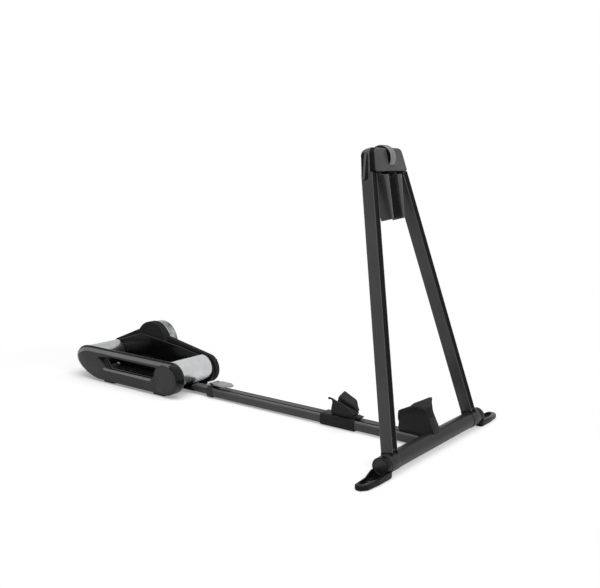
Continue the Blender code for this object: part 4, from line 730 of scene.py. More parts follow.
def add_knuckle(side, name):
    """The turning hub under a leg, with the spigot that enters the leg."""
    low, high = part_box(name + "_knuckle")
    hub = disc(KNUCKLE_RADIUS, low.y, high.y, HINGE, 0.0018, bore=HINGE_BORE)
    half_x = LEG_DEPTH / 2 - SPIGOT_INSET
    half_y = LEG_WIDTH / 2 - SPIGOT_INSET
    loop = rounded_polygon(rectangle(-half_x, half_x - 0.005, -half_y, half_y), 0.001, 2)
    spigot = moved(slab(loop, SPIGOT_LOW, SPIGOT_HIGH, "XY", 0.0, 0.001), leg_place(side))
    replace_node(name + "_knuckle", carved(hub, unions=[spigot]), WORLD)


def add_crossbar():
    """The tube between the feet, with its stub axles."""
    low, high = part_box("crossbar_tube")
    radius = (high.x - low.x) / 2
    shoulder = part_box("left_knuckle")[0].y - 0.0006
    axle = HINGE_BORE - GAP
    half = [(0.004, high.y), (axle, high.y), (axle, shoulder), (radius - 0.0012, shoulder),
            (radius, shoulder - 0.0012)]
    replace_node("crossbar_tube", turned(both_halves(half, (1, -1)), HINGE), WORLD)


def add_end_cap(side, name):
    """The shallow dished disc that closes the foot's hub."""
    low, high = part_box(name + "_end_cap")
    radius = (high.x - low.x) / 2
    inner, outer = sorted((low.y, high.y), key=abs)
    profile = [(radius, inner), (radius, outer - side * 0.0008), (radius - 0.0008, outer),
               (radius - 0.003, outer), (radius - 0.0036, outer - side * DISH_DEPTH)]
    replace_node(name + "_end_cap", turned_plate(profile, HINGE, 72), WORLD, "disc")


# Clamp head

HEAD_REAR = -LEG_DEPTH / 2
HEAD_SPLIT = 0.0108
HEAD_FRONT = 0.0275
HEAD_WALL = 0.003
HEAD_CORNER = 0.026
HEAD_TAPER = 0.006
HEAD_CROWN = 0.018
COVER_INSET = 0.0115
COVER_TOP = 0.8265
COVER_BOTTOM = 0.7605
DIAL_D = 0.803
DIAL_OFFSET = 0.002
DIAL_RADIUS = 0.037
DIAL_WIDTH = 0.026
DIAL_CLEAR = 0.0015
DIAL_RIBS, RIB_DEPTH = 72, 0.0005
SCREW_RADIUS, SCREW_END = 0.003, 0.0656
MOUTH_HALF = 0.056
MOUTH_REAR = -0.019
RECESS_D = 0.778
RECESS_HALF = 0.039
POCKET_DEPTH = 0.0024
BAR_HALF = 0.037
BAR_TILT = math.radians(10.0)
PAD_LOW, PAD_HIGH, PAD_RIBS = 0.64, 0.74, 15
PAD_FACE_Y = 0.02145


def leg_line_y(d, offset):
    """Where a leg's outer (1) or inner (-1) line lies at a distance d along the A-frame."""
    return LEG_BASE_Y - math.tan(LEG_ANGLE) * d + offset * LEG_WIDTH / 2 / LEG_COS


def head_outline():
    """The head from the front: flush with the legs' outer lines, with a round top."""
    low = HEAD_BOTTOM - 0.03
    top = (leg_line_y(HEAD_TOP, 1) - HEAD_TAPER, HEAD_TOP)
    outer = (leg_line_y(HEAD_BOTTOM, -1) + LEG_WIDTH * LEG_COS,
             HEAD_BOTTOM + LEG_WIDTH * LEG_SIN)
    share = (low - top[1]) / (outer[1] - top[1])
    right = [(top[0] + (outer[0] - top[0]) * share, low), top]
    return rounded_polygon(both_halves(right), [0.014, HEAD_CORNER, HEAD_CORNER, 0.014], 14)


def below_head():
    """What lies under the head's underside and the two leg tops, as a cutter."""
    inner = leg_line_y(HEAD_BOTTOM, -1)
    reach = 0.06
    outer = inner + reach * LEG_COS
    right = [(outer, HEAD_BOTTOM - 0.08), (outer, HEAD_BOTTOM + reach * LEG_SIN),
             (inner, HEAD_BOTTOM)]
    return slab(both_halves(right), -0.06, 0.06, "YZ")


def cover_outline(grow=0.0):
    right = [(leg_line_y(d, 1) - COVER_INSET + grow, d + rise)
             for d, rise in ((COVER_BOTTOM, -grow), (COVER_TOP, grow))]
    return rounded_polygon(both_halves(right), [0.0052, 0.018, 0.018, 0.0052], 12)


def head_cuts(deep):
    """The mouth for the jaws and the slot for the thumb wheel, as cutters."""
    mouth = rectangle(-MOUTH_HALF, MOUTH_HALF, HEAD_BOTTOM - 0.01, HEAD_BOTTOM + 0.0075)
    half = DIAL_WIDTH / 2 + DIAL_CLEAR
    slot = disc(DIAL_RADIUS + DIAL_CLEAR, -half, half, (DIAL_OFFSET, 0.0, DIAL_D))
    return [slab(mouth, MOUTH_REAR, deep, "YZ"), slot]


def side_recess(side):
    """A long recess on the head's side that runs down on the leg, filled with a near-black inlay
    that paints its shade, and the bar across it.
    """
    place = leg_place(side, WORLD)
    along = RECESS_D / LEG_COS
    middle = (HEAD_REAR + HEAD_SPLIT) / 2 - 0.0005
    face = LEG_WIDTH / 2
    loop = rounded_polygon(rectangle(middle - 0.0095, middle + 0.0105, along - RECESS_HALF,
                                     along + RECESS_HALF), 0.007)
    cutter = slab(loop, *span(side, face - POCKET_DEPTH, face + 0.01), "XZ")
    # Painted shade: the recess is filled to the face with near-black rubber that stands in for the
    # shade inside it
    shade_fill = slab(inset(loop, 0.0002), *span(side, face - POCKET_DEPTH, face + 0.0002), "XZ")
    bar = rounded_polygon(rectangle(-0.0036, 0.0036, -BAR_HALF, BAR_HALF), 0.0034, 6)
    rounds = (0.0, 0.0009) if side > 0 else (0.0009, 0.0)
    bar = slab(bar, *span(side, face - 0.001, face + 0.0012), "XZ", *rounds)
    turn = Matrix.Translation((middle, 0.0, along)) @ Matrix.Rotation(BAR_TILT, 4, "Y")
    return moved(cutter, place), moved(shade_fill, place), moved(bar, place @ turn)


def add_head():
    """Rear shell and front cover, each hollow, with a near-black ledge and skirt where they meet
    that paint the shade of a gap.
    """
    recesses = [side_recess(side) for side, _ in SIDES]
    pocket = slab(inset(head_outline(), HEAD_WALL), HEAD_REAR + HEAD_WALL, HEAD_SPLIT + 0.01, "YZ")
    shell = slab(head_outline(), HEAD_REAR, HEAD_SPLIT - GAP, "YZ", 0.0045, 0.003, 6)
    centre = (HEAD_REAR + HEAD_CROWN, HEAD_TOP - HEAD_CROWN)
    corner = arc(centre, HEAD_CROWN, 180, 90, 16)
    corner += [(centre[0], HEAD_TOP + 0.01), (HEAD_REAR - 0.01, HEAD_TOP + 0.01),
               (HEAD_REAR - 0.01, centre[1])]
    cutters = [pocket, below_head(), slab(corner, -0.2, 0.2, "XZ")] + head_cuts(HEAD_SPLIT + 0.01)
    cutters += [recess[0] for recess in recesses]
    replace_node("head_rear_shell", carved(shell, cutters), A_FRAME, "head")
    for (_, name), (_, shade_fill, bar) in zip(SIDES, recesses):
        add_piece(name + "_head_recess_shade", shade_fill, "head_rear_shell", A_FRAME, "joint_and_painted_shade")
        add_piece(name + "_head_trim_bar", bar, "head_rear_shell", A_FRAME, "trim_bar")
    # Painted shade: a near-black ledge and a skirt round the front cover's sides stand in for the
    # shade of the gap between shell and cover
    ledge = slab(inset(head_outline(), 0.0026), HEAD_SPLIT - 0.0015, HEAD_SPLIT + 0.0005, "YZ")
    skirt = slab(cover_outline(0.0008), HEAD_SPLIT - 0.001, HEAD_FRONT - 0.005, "YZ")
    core = slab(inset(cover_outline(), 0.0008), HEAD_SPLIT - 0.01, HEAD_FRONT, "YZ")
    joint_and_painted_shade = carved(ledge, [core, below_head()] + head_cuts(HEAD_FRONT), [skirt])
    add_piece("head_painted_shade_band", joint_and_painted_shade, "head_rear_shell", A_FRAME, "joint_and_painted_shade")
    inner = slab(inset(cover_outline(), HEAD_WALL), HEAD_SPLIT - 0.01, HEAD_FRONT - HEAD_WALL, "YZ")
    cover = slab(cover_outline(), HEAD_SPLIT, HEAD_FRONT, "YZ", 0.0, 0.0048, 6)
    cover = carved(cover, [inner] + head_cuts(HEAD_FRONT - HEAD_WALL))
    replace_node("head_front_cover", cover, A_FRAME, "head")
    back = (A_FRAME @ Matrix.Translation((HEAD_REAR, 0.0, 0.0))
            @ Matrix.Rotation(-math.pi / 2, 4, "Y"))
    spots = [(d, y, -0.0002) for d, y in ((0.768, 0.066), (0.768, -0.066), (0.818, 0.05),
                                          (0.818, -0.05))]
    add_screws("head_screws", "head_rear_shell", spots, back, 0.0034, 0.0018)


def add_thumb_wheel():
    """The ribbed metal rim and its dark hub, which is one with the screw."""
    place = A_FRAME @ Matrix.Translation((DIAL_OFFSET, 0.0, DIAL_D))
    half = DIAL_WIDTH / 2
    inner = DIAL_RADIUS - 0.003
    outer = DIAL_RADIUS - 0.00012
    rim = rounded_polygon(rectangle(inner, outer, -half, half), [0.0003, 0.0026, 0.0026, 0.0003], 6)
    rim = turned(rim, (0.0, 0.0, 0.0), 288, (DIAL_RIBS, RIB_DEPTH, outer - 0.0007))
    replace_node("dial_rim", rim, place, smooth_deg=40.0)
    hub = half - 0.003
    core = 0.011
    loop = [(0.0006, -SCREW_END), (SCREW_RADIUS, -SCREW_END), (SCREW_RADIUS, -hub - 0.0015),
            (core, -hub - 0.0015), (core, -hub + 0.0035), (inner - 0.006, -hub + 0.0035),
            (inner - 0.0045, -hub), (inner - GAP, -hub)]
    loop = rounded_polygon(both_halves(loop, (1, -1)), 0.0005, 3)
    replace_node("clamp_screw", turned(loop, (0.0, 0.0, 0.0), 72), place)


def add_jaw(side, name):
    """A long jaw and its rubber pad with ribs."""
    softened(name + "_arm", 0.0018)
    softened(name + "_arm_pad", 0.0004)
    rows = [(0.0, 0.0, PAD_LOW + (PAD_HIGH - PAD_LOW) * k / (PAD_RIBS - 1))
            for k in range(PAD_RIBS)]
    ribs = grown(RIBS, rows, {"Length": 0.026, "Width": 0.001, "Height": 0.0022}, "rubber")
    place = A_FRAME @ Matrix.Translation((-0.0015, side * PAD_FACE_Y, 0.0))
    add_piece(name + "_pad_ribs", ribs, name + "_arm_pad", place, "rubber")


add_crossbar()
for side, name in SIDES:
    add_leg(side, name)
    add_knuckle(side, name)
    add_end_cap(side, name)
    softened(name + "_foot_sole", 0.0006)
add_head()
add_thumb_wheel()
for side, name in SIDES:
    add_jaw(side, name)


# Feet

HUB_INNER_Y = 0.2582
HUB_OUTER_Y = 0.2797
HUB_RADIUS = 0.0247
CAP_SEAT_Y = 0.2769
CAP_SEAT_RADIUS = 0.0228
AXLE_END_Y = 0.2742
TIP_Y = 0.3855
SOLE_TOP = 0.0033
HEEL_HEIGHT = 0.019
TOE_HEIGHT = 0.0135
SCOOP_DEPTH = 0.0058
RIB_START_Y, RIB_STEP = 0.2885, 0.0085


def add_foot(side, name):
    """A shoe with a round hub, a scooped toe with a rim, and ribs on its floor."""
    loop = [(-0.025, HUB_INNER_Y), (-0.025, HUB_OUTER_Y + 0.005),
            (-0.0105, HUB_OUTER_Y + 0.055), (-0.0105, TIP_Y), (0.01, TIP_Y),
            (0.0235, TIP_Y - 0.018), (0.0275, TIP_Y - 0.062), (0.0275, HUB_INNER_Y)]
    loop = rounded_polygon(loop, [0.002, 0.015, 0.03, 0.01, 0.01, 0.01, 0.02, 0.01])
    shoe = slab(mirrored(loop, side), SOLE_TOP, HEEL_HEIGHT, "XY", 0.0008)
    start, end = side * (HUB_OUTER_Y + 0.002), side * (TIP_Y + 0.01)
    slope = [(start, HEEL_HEIGHT + 0.001), (end, TOE_HEIGHT - 0.001), (end, 0.06), (start, 0.06)]
    inner = HUB_OUTER_Y + 0.0004
    scoop = [(-0.0205, inner), (-0.0205, HUB_OUTER_Y + 0.006), (-0.0065, HUB_OUTER_Y + 0.054),
             (-0.0065, TIP_Y - 0.014), (0.006, TIP_Y - 0.014), (0.02, TIP_Y - 0.06),
             (0.02, inner)]
    scoop = rounded_polygon(scoop, [0.002, 0.01, 0.02, 0.004, 0.006, 0.012, 0.002], 6)
    floor = TOE_HEIGHT - SCOOP_DEPTH
    cutters = [slab(slope, -0.05, 0.05, "YZ"), slab(mirrored(scoop, side), floor, 0.05, "XY")]
    shoe = carved(shoe, cutters, soften=0.0009)
    axis = (0.0, 0.0, HINGE_Z)
    hub = disc(HUB_RADIUS, *span(side, HUB_INNER_Y, HUB_OUTER_Y), axis, 0.0014)
    cutters = [block((-0.06, -0.5, -0.03), (0.06, 0.5, SOLE_TOP)),
               disc(CAP_SEAT_RADIUS, *span(side, CAP_SEAT_Y, 0.29), axis),
               disc(HINGE_BORE, *span(side, 0.25, AXLE_END_Y), axis)]
    replace_node(name + "_foot", carved(shoe, cutters, [hub]))
    for label, length, middle, rows in (("wide", 0.03, 0.0, range(5)),
                                        ("narrow", 0.0105, 0.0002, range(6, 10))):
        places = [(middle, side * (RIB_START_Y + RIB_STEP * k), floor) for k in rows]
        ribs = grown(RIBS, places, {"Length": length, "Width": 0.0016, "Height": 0.0022}, "foot")
        add_piece(name + "_foot_ribs_" + label, ribs, name + "_foot", FROM_CROSSBAR)


# Rails and lever

CROSSBAR_RADIUS = 0.0238
RAIL_BOTTOM = 0.0045
RAIL_TOP = 0.0355
RAIL_HALF = 0.023
RAIL_CORNER = 0.0085
RAIL_WALL = 0.0035
RAIL_REAR_X = -0.8655
RAIL_FRONT_X = -0.0171
SLOT_Y = 0.0145
SLOT_HALF = 0.003
SLOT_DEPTH = 0.0012
COLLAR_FRONT_X = -0.842
COLLAR_WALL = 0.0028
LEVER_X, LEVER_Z = -0.852, 0.046
SLIP = 0.0005
INNER_RAIL_REAR_X, INNER_RAIL_FRONT_X = -0.944, -0.69
TONGUE_REAR_X, TONGUE_FRONT_X = -1.372, -0.932
TONGUE_LOW, TONGUE_HIGH = 0.0095, 0.0185


def rail_loop(grow=0.0, radius=RAIL_CORNER):
    half = RAIL_HALF + grow
    return rounded_polygon(rectangle(-half, half, RAIL_BOTTOM - grow, RAIL_TOP + grow), radius, 9)


def crossbar_saddle():
    """The room that the crossbar takes, as a cutter."""
    return disc(CROSSBAR_RADIUS + GAP, -0.06, 0.06, (0.0, 0.0, HINGE_Z))


def rail_finish(face):
    """The number of a face's finish on the front rail: painted shade on the plateau, painted shade
    in the slots, painted highlight on the upper edge, or the rest.
    """
    aside, height, up = abs(face.center.y), face.center.z, face.normal.z
    if aside < SLOT_Y - SLOT_HALF / 2 and up > 0.9 and height > RAIL_TOP - SLOT_DEPTH / 2:
        return 1
    if abs(aside - SLOT_Y) < 1.01 * SLOT_HALF and RAIL_TOP - 2 * SLOT_DEPTH < height < RAIL_TOP:
        return 2
    return 3 if aside > SLOT_Y and 0.3 < up < 0.97 and height > RAIL_TOP - RAIL_CORNER else 0


def add_rails():
    """Front rail, collar with its ears, and the inner rail with its tongue."""
    cutters = [slab(rail_loop(-RAIL_WALL, 0.005), RAIL_REAR_X - 0.01, 0.02, "YZ"),
               crossbar_saddle(), block((RAIL_FRONT_X, -0.06, -0.06), (0.06, 0.06, 0.1))]
    cutters += [block((RAIL_REAR_X - 0.01, y - SLOT_HALF, RAIL_TOP - SLOT_DEPTH),
                      (-0.03, y + SLOT_HALF, 0.1)) for y in (-SLOT_Y, SLOT_Y)]
    rail = carved(slab(rail_loop(), RAIL_REAR_X, 0.0, "YZ"), cutters)
    # Painted light and shade: the plateau is darker, the slot floors are near-black and the upper
    # edges are lighter
    paint_faces(replace_node("front_rail", rail), ("rail_top", "joint_and_painted_shade", "rail_edge"), rail_finish)
    collar = slab(rail_loop(COLLAR_WALL, 0.01), RAIL_REAR_X, COLLAR_FRONT_X, "YZ",
                  0.0012, 0.0012)
    ear = [(LEVER_X - 0.0085, 0.0368), (LEVER_X + 0.0085, 0.0368)]
    ear += arc((LEVER_X, LEVER_Z), 0.006, 0, 180, 16)
    ears = [slab(ear, *span(side, 0.0155, 0.0215), "XZ", 0.0004, 0.0004) for side in (1, -1)]
    cutters = [slab(rail_loop(GAP), RAIL_REAR_X - 0.01, COLLAR_FRONT_X + 0.01, "YZ"),
               disc(0.0033, -0.05, 0.05, (LEVER_X, 0.0, LEVER_Z), steps=32)]
    replace_node("rail_collar", carved(collar, cutters, ears))
    inner = -RAIL_WALL - SLIP
    tube = carved(slab(rail_loop(inner, 0.006), INNER_RAIL_REAR_X, INNER_RAIL_FRONT_X, "YZ"),
                  [slab(rail_loop(inner - 0.003, 0.003), INNER_RAIL_REAR_X - 0.016,
                        INNER_RAIL_FRONT_X + 0.01, "YZ")])
    replace_node("rear_rail", tube)
    half = RAIL_HALF + inner
    tongue = slab(rectangle(-half, half, TONGUE_LOW, TONGUE_HIGH), TONGUE_REAR_X, TONGUE_FRONT_X,
                  "YZ")
    add_piece("rail_tongue", carved(tongue, soften=0.0006), "rear_rail", FROM_CROSSBAR, "tray",
              ["rear_rail"])
    softened("cam_lever", 0.0014, 35.0)


# Wheel cradles

WHEEL_CENTRE_X = -0.191
WHEEL_RADIUS = 0.34
WHEEL_LOW_Z = 0.043
TROUGH_HALF = 0.013
STEM_TOP_HALF = 0.0165
PLINTH_HALF, PLINTH_HEIGHT = 0.015, 0.0065
FLARE_SHARE = 0.48
LIP = 0.0035
FRONT_LEAN, REAR_LEAN = 0.46, 0.13
# Stations along each cradle: x, half width over the wings and height of their tips
FRONT_STATIONS = ((-0.104, 0.0215, 0.074), (-0.098, 0.032, 0.094), (-0.09, 0.041, 0.106),
                  (-0.066, 0.049, 0.119), (-0.04, 0.056, 0.1315), (-0.026, 0.033, 0.1275),
                  (-0.016, 0.019, 0.114))
REAR_STATIONS = ((-0.264, 0.0215, 0.059), (-0.272, 0.026, 0.069), (-0.283, 0.0345, 0.083),
                 (-0.306, 0.039, 0.0915), (-0.325, 0.0415, 0.099), (-0.3315, 0.0422, 0.1015),
                 (-0.3345, 0.0424, 0.1005), (-0.336, 0.0424, 0.097))
# How far the rings at a cradle's ends are drawn in, and how far they are set along
END_ROUND = ((0.0007, 0.0), (0.0002, 0.0003), (0.0, 0.0007))
SLEEVE_REAR_X, SLEEVE_FRONT_X = -0.38, -0.255
SLEEVE_WALL = 0.0032
LATCH_PIN_X = -0.259
LATCH_PIN_RISE = 0.004


def wheel_height(x):
    offset = x - WHEEL_CENTRE_X
    return WHEEL_LOW_Z + WHEEL_RADIUS - math.sqrt(WHEEL_RADIUS ** 2 - offset ** 2)


def between(rows, count):
    """Rows of numbers with smooth steps put between them."""
    finer = []
    for i in range(len(rows) - 1):
        four = [rows[max(i - 1, 0)], rows[i], rows[i + 1], rows[min(i + 2, len(rows) - 1)]]
        for k in range(count):
            t = k / count
            weights = (-0.5 * t + t * t - 0.5 * t ** 3, 1 - 2.5 * t * t + 1.5 * t ** 3,
                       0.5 * t + 2 * t * t - 1.5 * t ** 3, -0.5 * t * t + 0.5 * t ** 3)
            finer.append(tuple(sum(w * row[c] for w, row in zip(weights, four))
                               for c in range(3)))
    return finer + [rows[-1]]


def cradle(stations, lean, base):
    """A scoop whose two lips flare out as it climbs, with rounded folds and ends."""
    first = stations[0][0]
    length = stations[-1][0] - first
    outward = 1.0 if length > 0 else -1.0
    rows = between(stations, 5)
    plan = [(rows[0], away, along) for away, along in END_ROUND]
    plan += [(row, 0.0, 0.0) for row in rows[1:-1]]
    plan += [(rows[-1], away, -along) for away, along in END_ROUND[::-1]]
    plinth = base + PLINTH_HEIGHT
    radii = [0.0012, 0.0012, 0.002, 0.03, 0.0012, 0.0012, 0.03, 0.004]
    rings = []
    for (x, wing, top), away, along in plan:
        climb = (x - first) / length
        root = wheel_height(x)
        flare = root + (top - root) * FLARE_SHARE
        stem = min(STEM_TOP_HALF, wing - 0.003)
        half = [(PLINTH_HALF, base), (PLINTH_HALF, plinth), (0.02, plinth + 0.0012),
                (stem, flare), (wing, top - LIP), (wing - 0.0004, top),
                (TROUGH_HALF + 0.0005, flare + 0.0015), (TROUGH_HALF, root)]
        loop = rounded_polygon(both_halves(half), radii + radii[::-1], 7)
        loop = inset(loop, away) if away else loop
        x += outward * along
        rings.append([(x + outward * lean * climb * (top - z), y, z) for y, z in loop])
    return skin(rings)


def add_cradles():
    """The fixed cradle by the crossbar, and the sliding one on its sleeve."""
    nose = block((0.0, -0.06, -0.01), (0.06, 0.06, HINGE_Z + 0.016))
    front = carved(cradle(FRONT_STATIONS, FRONT_LEAN, RAIL_TOP + GAP), [crossbar_saddle(), nose])
    replace_node("front_cradle", front, finish="scoop", smooth_deg=40.0)
    top = RAIL_TOP + SLIP + SLEEVE_WALL
    replace_node("rear_cradle", cradle(REAR_STATIONS, REAR_LEAN, top + GAP), finish="scoop",
                 smooth_deg=40.0)
    sleeve = slab(rail_loop(SLIP + SLEEVE_WALL, 0.01), SLEEVE_REAR_X, SLEEVE_FRONT_X, "YZ",
                  0.002, 0.002)
    pin_z = top + GAP + LATCH_PIN_RISE
    lug = [(LATCH_PIN_X - 0.0035, top - 0.0015), (LATCH_PIN_X + 0.0035, top - 0.0015)]
    lug += arc((LATCH_PIN_X, pin_z), 0.0032, 0, 180, 14)
    lugs = [slab(lug, *span(side, 0.0126, 0.0156), "XZ", 0.0003, 0.0003) for side in (1, -1)]
    cutters = [slab(rail_loop(SLIP), SLEEVE_REAR_X - 0.02, SLEEVE_FRONT_X + 0.015, "YZ"),
               disc(0.0018, -0.03, 0.03, (LATCH_PIN_X, 0.0, pin_z), steps=24)]
    replace_node("cradle_sleeve", carved(sleeve, cutters, lugs), finish="sleeve")
    softened("cradle_latch", 0.0008)


for side, name in SIDES:
    add_foot(side, name)
add_rails()
add_cradles()


# Roller unit: near side frame with its window and disc

SIDE_OUTER_Y = -0.119
SIDE_INNER_Y = -0.0808
SHADE_Y = -0.096
SIDE_TOP = 0.117
SIDE_BOTTOM = 0.0095
SIDE_FRONT_X = -0.9175
SIDE_REAR_X = -1.499
BAND_DROP = 0.0085
SILL_RISE = 0.005
SILL_END_Y = SIDE_OUTER_Y + 0.013
TOP_HEIGHT = 0.07
NOSE_X = HINGE_X + SIDE_FRONT_X - 0.035
CAP_SEAT = 0.0025
CAP_RADIUS = 0.052


def side_outline(slant, top=SIDE_TOP):
    """The near side from the side; slant is 0 at the inner plane and 1 at the outer plane."""
    radius = (top - SIDE_BOTTOM) / 2
    points = arc((SIDE_FRONT_X - radius, SIDE_BOTTOM + radius), radius, -90, 90, 48)
    end_x = SIDE_REAR_X + 0.054 * slant
    end_z = 0.066 + 0.015 * slant
    top_x = end_x + 0.074
    bottom_x = end_x + 0.095 + 0.035 * slant
    for i in range(25):
        angle = math.pi / 2 * i / 24
        points.append((top_x - (top_x - end_x) * math.sin(angle),
                       end_z + (top - end_z) * math.cos(angle)))
    for i in range(1, 25):
        share = 1.0 - i / 24
        depth = (1.0 - share ** 1.8) ** (1 / 1.8)
        points.append((bottom_x - (bottom_x - end_x) * share,
                       end_z - (end_z - SIDE_BOTTOM) * depth))
    return points


def window_ring(y, rise):
    """The hand hole at one depth; its sill rises towards the inside."""
    corners = [(-1.298, 0.0475 + rise), (-1.048, 0.0475 + rise), (-1.004, 0.094),
               (-1.018, 0.1005), (-1.259, 0.102), (-1.333, 0.092)]
    loop = rounded_polygon(corners, [0.01, 0.012, 0.006, 0.006, 0.02, 0.003])
    return [(x, y, z) for x, z in loop]


def side_finish(face):
    """The number of a face's finish on the side frame: painted highlight on the top, painted light
    on the sill, painted shade on the inner top, or the rest.
    """
    if face.normal.z <= 0.6 or face.center.x >= NOSE_X:
        return 0
    if face.center.z > TOP_HEIGHT:
        return 1 if face.center.y < SHADE_Y else 3
    return 2 if face.center.y < SILL_END_Y else 0


def add_side_frame():
    """The moulded frame: a sloped top with a painted highlight, a crisp crease, a sill in the
    window with painted light, a bare disc.
    """
    planes = ((SIDE_INNER_Y, 0.0, 0.0, 0.0), (SIDE_INNER_Y - 0.006, 0.1, 0.0003, 0.0),
              (SIDE_OUTER_Y + 0.0015, 0.97, BAND_DROP * 0.97, 0.0),
              (SIDE_OUTER_Y + 0.0005, 0.99, BAND_DROP, 0.0003),
              (SIDE_OUTER_Y, 1.0, BAND_DROP, 0.0012))
    side = skin([[(x, y, z) for x, z in inset(side_outline(slant, SIDE_TOP - drop), away)]
                 for y, slant, drop, away in planes])
    depths = ((SIDE_OUTER_Y - 0.01, -SILL_RISE), (SIDE_OUTER_Y, 0.0),
              (SIDE_OUTER_Y + 0.0105, SILL_RISE), (SIDE_OUTER_Y + 0.0125, SILL_RISE - 0.001),
              (SIDE_OUTER_Y + 0.0165, -0.008), (SIDE_INNER_Y + 0.01, -0.008))
    window = skin([window_ring(y, rise) for y, rise in depths])
    centre = (SIDE_FRONT_X - 0.059, 0.0, SIDE_BOTTOM + 0.0528)
    seat = SIDE_OUTER_Y + CAP_SEAT
    recess = disc(CAP_RADIUS + GAP, SIDE_OUTER_Y - 0.01, seat, centre)
    piece = replace_node("right_side_frame", carved(side, [window, recess]), finish="side",
                         smooth_deg=24.0)
    split_across(piece.data, (0.0, SHADE_Y, 0.0), (0.0, 1.0, 0.0))
    # Painted highlight on the outer top, painted light on the window sill and painted shade on the
    # inner top
    paint_faces(piece, ("side_top", "sill", "side_shade"), side_finish)
    radius = (SIDE_TOP - SIDE_BOTTOM) / 2
    middle = (SIDE_FRONT_X - radius, SIDE_BOTTOM + radius)
    band = arc(middle, radius + 0.0007, -78, 72, 60) + arc(middle, radius - 0.0015, 72, -78, 60)
    wrap = slab(band, seat, SIDE_INNER_Y - 0.001, "XZ", 0.0004, 0.0004)
    add_piece("side_frame_nose", wrap, "right_side_frame", FROM_CROSSBAR, "nose")
    face = seat - 0.0028
    profile = [(CAP_RADIUS, SIDE_OUTER_Y + 0.0022), (CAP_RADIUS, face + 0.0006),
               (CAP_RADIUS - 0.0006, face), (0.0482, face), (0.0474, face + 0.0012)]
    replace_node("disc_cap", turned_plate(profile, centre), finish="disc", smooth_deg=24.0)


# Roller unit: belt covers, flywheel and drums

FRONT_DRUM = (-0.98, 0.0705)
REAR_DRUM = (-1.4495, 0.064)
DRUM_RADIUS, DRUM_BORE, DRUM_WALL = 0.0455, 0.0063, 0.003
DRUM_NEAR_Y, DRUM_FAR_Y, DRUM_WEB = -0.0745, 0.076, 0.006
COVER_BASE = 0.012
COVER_END = 0.0515
APEX = (-1.306, 0.1766)
COVER_INNER_Y = 0.0775
COVER_SEAM_Y = 0.0905
COVER_OUTER_Y = 0.1105
COVER_WALL = 0.0027
COVER_SHADE_Z = 0.032
AXLE_HOLE, INLET_HOLE = 0.009, 0.0073
HUMP_RADIUS = 0.0803
HUMP_INNER_Y = 0.08
FLYWHEEL = (-1.258, 0.0, 0.122)
FLYWHEEL_RADIUS, FLYWHEEL_BORE = 0.0775, 0.0073
FLYWHEEL_INNER_Y = 0.1118
FLYWHEEL_WIDTH, FLYWHEEL_WEB, FLYWHEEL_RIM = 0.0352, 0.012, 0.017
TONGUE_SCREW_Z = 0.0184


def eased(before, corner, after, radius):
    """Points that round one corner of an outline."""
    return rounded_polygon([before, corner, after], [0.0, radius, 0.0])[9:18]


def cover_end(drum, radius, base, start_deg, end_deg):
    return arc((drum[0], base + radius), radius, start_deg, end_deg, 48)


def housing_loop():
    front = cover_end(FRONT_DRUM, COVER_END, COVER_BASE, -90, 78)
    rear = cover_end(REAR_DRUM, COVER_END, COVER_BASE, 114, 270)
    return front + eased(front[-1], APEX, rear[0], 0.012) + rear


def inner_loop():
    radius = COVER_END - 0.0045
    front = cover_end(FRONT_DRUM, radius, COVER_BASE + 0.001, -90, 84)
    rear = cover_end(REAR_DRUM, radius, COVER_BASE + 0.001, 112, 270)
    corners = [front[-1], (-1.099, APEX[1] - 0.049), (-1.206, APEX[1] - 0.0365),
               (APEX[0] - 0.006, APEX[1] - 0.0245), rear[0]]
    middle = []
    for i, round_off in ((1, 0.05), (2, 0.05), (3, 0.012)):
        middle += eased(*corners[i - 1:i + 2], round_off)
    return front + middle + rear


def cover_finish(face):
    """The number of a face's finish on the inner cover: painted highlight on the rim, painted shade
    at the foot, or the rest.
    """
    if face.center.y >= COVER_INNER_Y + 0.0035:
        return 0
    if 0.5 < face.normal.z < 0.97 and face.center.z > 0.1:
        return 1
    return 2 if face.center.z < COVER_SHADE_Z else 0


